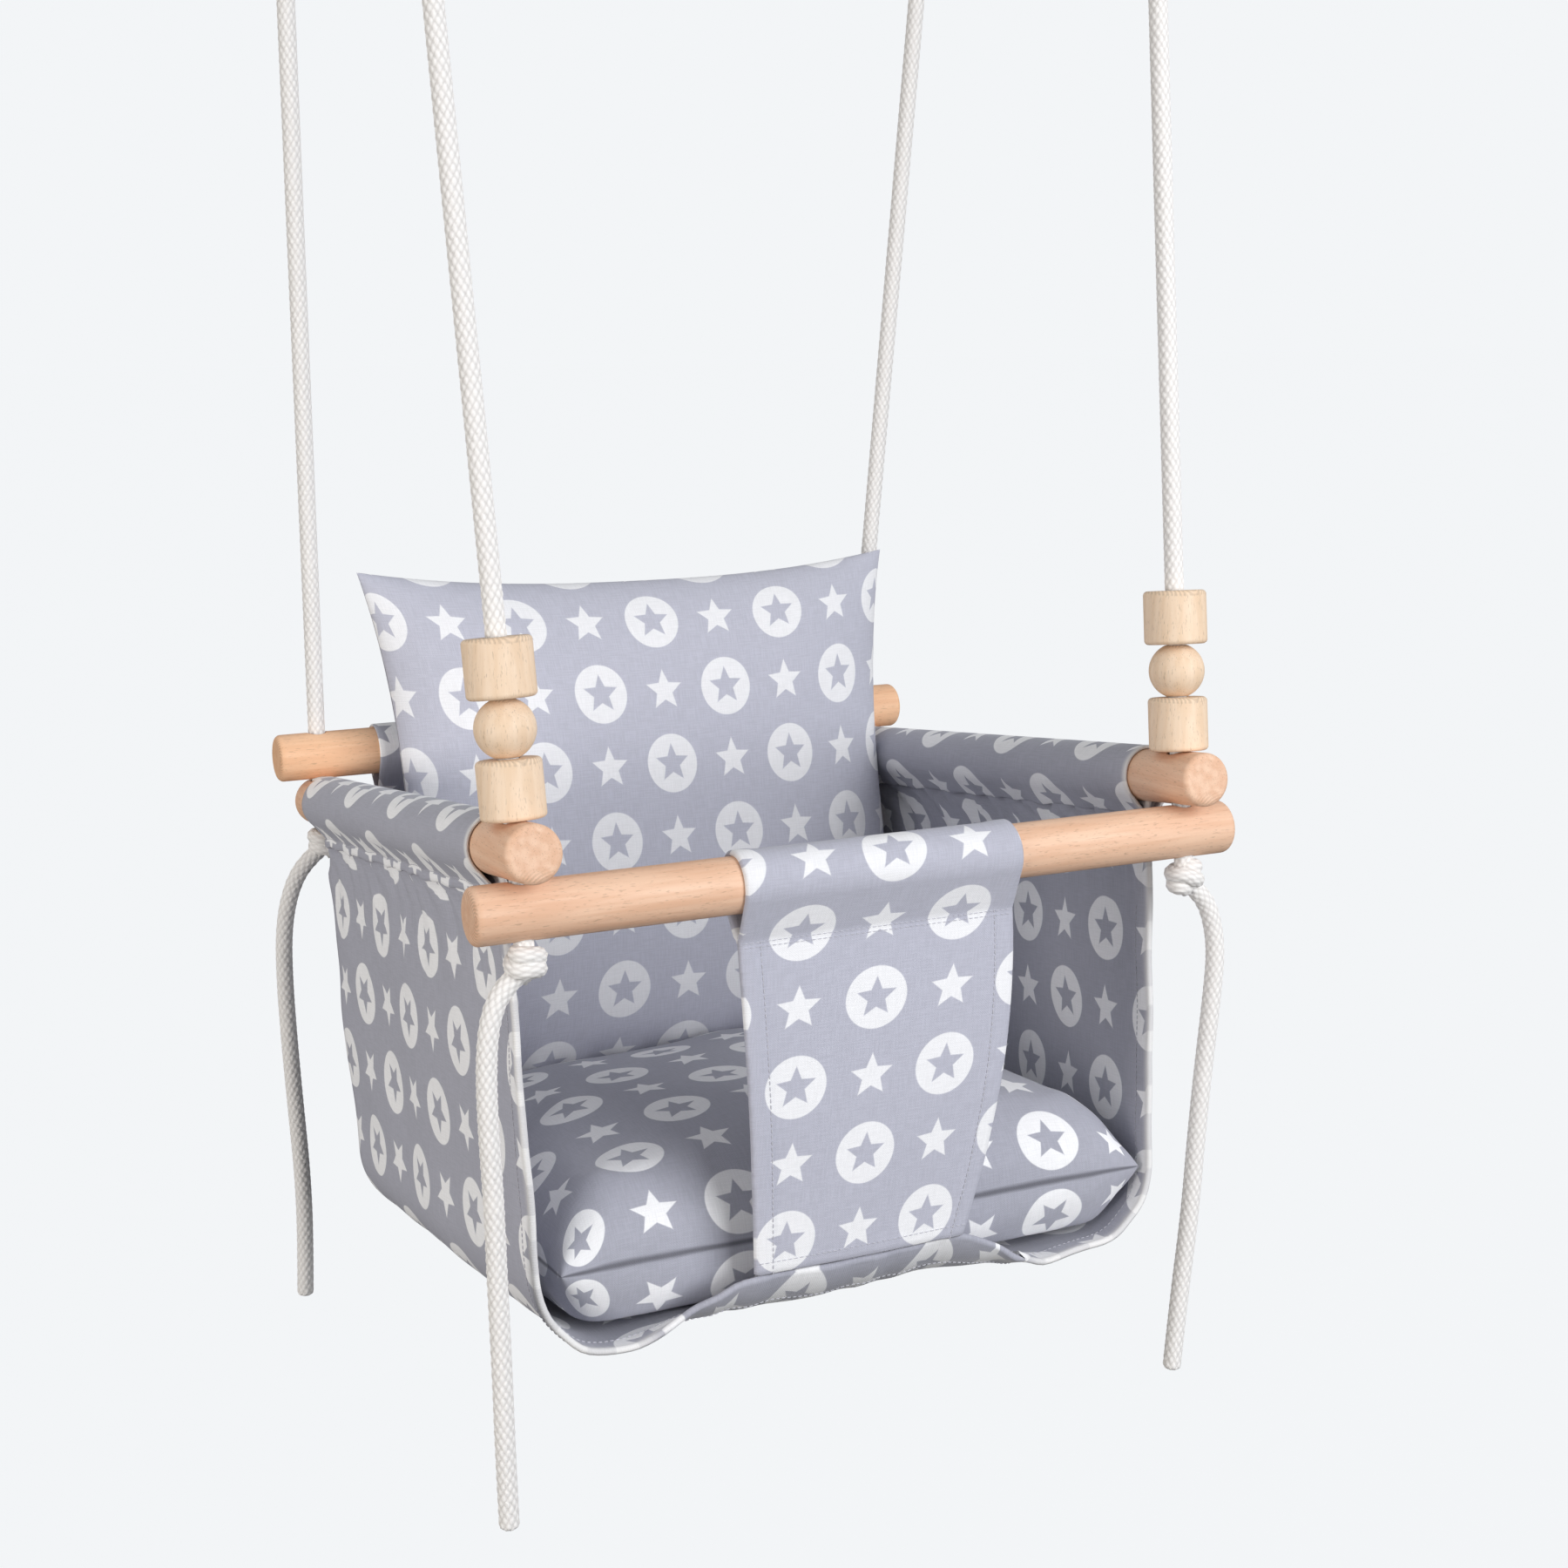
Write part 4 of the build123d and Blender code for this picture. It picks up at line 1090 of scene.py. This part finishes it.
def plump_cushion(size, pull, wall, excess):
    """A stuffed cover round its seam's plane: bowed sides, and a wall that turns in at the top.

    wall gives how far the wall leans in and the share of the cover that it takes. The cover
    is cut larger than its wadding by the excess, so it wrinkles. Returns points, faces, map.
    """
    cells = CUSHION_CELLS
    share = np.linspace(-1, 1, cells + 1)
    a, b = np.meshgrid(share, share, indexing="ij")

    def rounded(place, half_size):
        """How far out a place of the cover lies, and how much of the height it has."""
        turn = np.clip((1 - np.abs(place)) / wall[1], 0, 1) * np.pi / 2
        lean = wall[0] / half_size
        out = np.where(
            turn < np.pi / 2, 1 - lean * (1 - np.cos(turn)), (1 - lean) * np.abs(place) / (1 - wall[1]),
        )
        return np.sign(place) * out, np.sin(turn) * (0.70 + 0.30 * np.cos(place * np.pi / 2))

    out_a, rise_a = rounded(a, size[0] / 2)
    out_b, rise_b = rounded(b, size[1] / 2)
    x = out_a * size[0] / 2 * (1 - pull[0] * (1 - np.abs(out_b) ** 2.5))
    y = out_b * size[1] / 2 * (1 - pull[1] * (1 - np.abs(out_a) ** 2.5))
    height = rise_a * rise_b * size[2] / 2
    middle_row = cells // 2
    u = lengths(np.stack([x[:, middle_row], height[:, middle_row]], 1))
    v = lengths(np.stack([y[middle_row], height[middle_row]], 1))
    flat_grid = np.stack(np.meshgrid(u - u[-1] / 2, v - v[-1] / 2, indexing="ij"), -1)
    seam = np.maximum(np.abs(a), np.abs(b)) == 1
    index = np.arange((cells + 1) ** 2).reshape(cells + 1, cells + 1)
    under = index.copy()
    under[~seam] = (cells + 1) ** 2 + np.arange((~seam).sum())
    stuffed = np.concatenate([
        np.stack([x, y, height], -1).reshape(-1, 3), np.stack([x, y, -height], -1)[~seam],
    ])
    flat = np.concatenate([flat_grid.reshape(-1, 2), flat_grid[~seam]])
    faces = np.concatenate([grid_quads(index), grid_quads(under)[:, [0, 3, 2, 1]]])
    stuffed = wrinkled(stuffed, faces, index[seam].tolist(), excess)
    places = np.concatenate([np.stack([a, b], -1).reshape(-1, 2), np.stack([a, b], -1)[~seam]])
    from_seam = (1 - np.abs(places).max(1)) * size[0] / 2
    nearest = np.abs(places).argmax(1)
    beside = np.take_along_axis(stuffed[:, :2], 1 - nearest[:, None], 1)[:, 0]
    uneven = np.sin(beside * 47 + 2 * nearest + np.sign(stuffed[:, 2]))
    pucker = np.sin(beside * 2 * np.pi / 0.029 + 2.5 * uneven)
    stuffed[:, 2] *= 1 + 0.13 * pucker * np.exp(-from_seam / 0.014)
    corner = np.exp(-((1 - np.abs(places)).sum(1) * size[0] / 2) / 0.036)
    from_middle = np.linalg.norm(stuffed[:, :2], axis=1)
    stuffed[:, 2] *= 1 + 0.30 * corner * np.sin(from_middle * 2 * np.pi / 0.021)
    return stuffed, faces, flat


def wrinkled(stuffed, faces, seam, excess):
    """The cover after a short cloth simulation that holds its seam and lets the excess buckle."""
    mesh = bpy.data.meshes.new("cover")
    mesh.from_pydata(stuffed.tolist(), [], faces.tolist())
    cover = bpy.data.objects.new("cover", mesh)
    bpy.context.scene.collection.objects.link(cover)
    cover.shape_key_add(name="stuffed")
    cut = cover.shape_key_add(name="cut")
    for point, place in zip(cut.data, stuffed * (1 + excess)):
        point.co = place
    cover.vertex_groups.new(name="seam").add(seam, 1.0, "REPLACE")
    cloth = cover.modifiers.new("cloth", "CLOTH")
    settings = cloth.settings
    settings.quality = 6
    settings.mass = 0.25
    settings.tension_stiffness = settings.compression_stiffness = 30
    settings.shear_stiffness = 12
    settings.bending_stiffness = 0.3
    settings.use_pressure = True
    settings.uniform_pressure_force = 1.0
    settings.effector_weights.gravity = 0
    settings.vertex_group_mass = "seam"
    settings.rest_shape_key = cut
    cloth.collision_settings.use_collision = False
    cloth.point_cache.frame_start = 1
    cloth.point_cache.frame_end = SETTLING_FRAMES
    for moment in range(1, SETTLING_FRAMES + 1):
        bpy.context.scene.frame_set(moment)
    evaluated = cover.evaluated_get(bpy.context.evaluated_depsgraph_get())
    moved = np.array([vertex.co for vertex in evaluated.data.vertices], float)
    bpy.context.scene.frame_set(1)
    bpy.data.objects.remove(cover)
    return moved


def print_shift(points, flat, place, pitch):
    """The shift that puts a disc of the print on this place of a cushion's upper face."""
    facing = points[:, 2] > 0
    nearest = np.linalg.norm(points[facing, :2] - place, axis=1).argmin()
    u, v = flat[facing][nearest] / pitch
    return 0.5 - u, 0.5 - v


def cushion_piece(name, points, faces, flat, material):
    """A cover's mesh, smoothed by one subdivision."""
    piece = new_mesh(name, points, faces.tolist(), material, flat[faces.ravel()])
    # The seam's points are marked for painted shade in the seam groove.
    on_seam = np.zeros(len(points), np.float32)
    rim = np.arange((CUSHION_CELLS + 1) ** 2).reshape(CUSHION_CELLS + 1, -1)
    on_seam[np.concatenate([rim[0], rim[-1], rim[:, 0], rim[:, -1]])] = 1
    piece.data.attributes.new("painted_seam_shade", "FLOAT", "POINT").data.foreach_set("value", on_seam)
    finer = piece.modifiers.new("finer", "SUBSURF")
    finer.levels = finer.render_levels = 1
    apply_modifiers(piece)
    return piece


points, faces, flat = plump_cushion((0.354, 0.326, 0.114), (0.02, 0.015), (0.034, 0.44), 0.03)
shift = print_shift(points, flat, (-0.0755, -0.070), CUSHION_PITCH)
cushion_material = cloth_material("canvas_cushion", CLOTH_GREY, PRINT_WHITE, CUSHION_PITCH, shift)
floor_top = -SEAT_DEPTH + 0.0022
slump = soft_noise(points[:, 0], points[:, 1], 0.09, 4.2) * 0.006 * (points[:, 2] > 0)
pressed = np.maximum(points[:, 2], -0.0315 + 0.06 * points[:, 2])
points[:, 2] = np.where(points[:, 2] < 0, pressed, points[:, 2])
points[:, 2] += slump
points += (0.0, -0.002, floor_top + 0.0345)
cushion = cushion_piece("stuffed_seat_cushion", hung(points), faces, flat, cushion_material)
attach(cushion, "seat_cushion")
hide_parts("seat_cushion_cover", "seat_cushion_filling")

points, faces, flat = plump_cushion((0.370, 0.340, 0.076), (0.100, 0.080), (0.085, 0.70), 0.02)
flat = flat * (1.117, 1.0)
shift = print_shift(points, flat, (0.0, 0.103 + PILLOW_DROP), CUSHION_PITCH)
# The pillow's cloth is a lit copy of the canvas: painted light.
pillow_material = cloth_material("canvas_pillow_painted_light", PILLOW_GREY_PAINTED_LIGHT, SOFT_WHITE_PAINTED_LIGHT, CUSHION_PITCH, shift)
lean = math.radians(4)
standing = np.stack([
    points[:, 0] + 0.0125,
    -points[:, 2] * math.cos(lean) + points[:, 1] * math.sin(lean) + 0.143,
    points[:, 1] * math.cos(lean) + points[:, 2] * math.sin(lean) - PILLOW_DROP - 0.010 * points[:, 0],
], 1)
pillow = cushion_piece("stuffed_back_pillow", hung(standing), faces, flat, pillow_material)
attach(pillow, "back_pillow")
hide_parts("back_pillow_cover", "back_pillow_filling")

# --- Floor and light ---
# A pale floor well below the seat, large soft lights and a bright even surround.

BACKDROP = (0.896, 0.913, 0.930)
FLOOR_DROP = 0.25


def strength_node(tree, shining, seen):
    """How strongly the backdrop lights the seat, and how bright the camera sees it."""
    camera_ray = tree.nodes.new("ShaderNodeLightPath").outputs["Is Camera Ray"]
    return ramp_node(tree, camera_ray, 0.0, 1.0, shining, seen, smooth=False)


bpy.context.scene.view_settings.view_transform = "Standard"
world = bpy.data.worlds.new("surround")
world.use_nodes = True
tree = world.node_tree
sky = tree.nodes["Background"]
sky.inputs["Color"].default_value = (*BACKDROP, 1.0)
tree.links.new(strength_node(tree, 0.44, 1.0), sky.inputs["Strength"])
bpy.context.scene.world = world

floor_material, tree, shader = new_material("pale_floor", 0.95, Specular_IOR_Level=0.0)
place = tree.nodes.new("ShaderNodeTexCoord").outputs["Object"]
speck = noise_node(tree, place, 40.0, detail=2.0)
floor_tint = mix_node(tree, speck, (0.006, 0.006, 0.006), (0.010, 0.010, 0.010))
tree.links.new(floor_tint, shader.inputs["Base Color"])
shader.inputs["Emission Color"].default_value = (*BACKDROP, 1.0)
tree.links.new(strength_node(tree, 0.06, 0.995), shader.inputs["Emission Strength"])
floor_z = cad_box[0].z - FLOOR_DROP
floor = new_mesh(
    "floor", [(-30, -30, floor_z), (30, -30, floor_z), (30, 30, floor_z), (-30, 30, floor_z)],
    [(0, 1, 2, 3)], floor_material,
)


def soft_light(name, place, aim, size, power, tint):
    """A large square light that points at the seat."""
    data = bpy.data.lights.new(name, "AREA")
    data.size = size
    data.energy = power
    data.color = tint
    light = bpy.data.objects.new(name, data)
    light.location = place
    light.rotation_euler = (Vector(aim) - Vector(place)).to_track_quat("-Z", "Y").to_euler()
    bpy.context.scene.collection.objects.link(light)


soft_light("key", seat_origin + Vector((1.0, -2.5, 0.9)), seat_origin, 2.0, 72, (0.97, 0.98, 1.0))
soft_light("fill", seat_origin + Vector((-2.6, -0.7, -0.2)), seat_origin, 1.4, 44, (1.0, 0.955, 0.90))
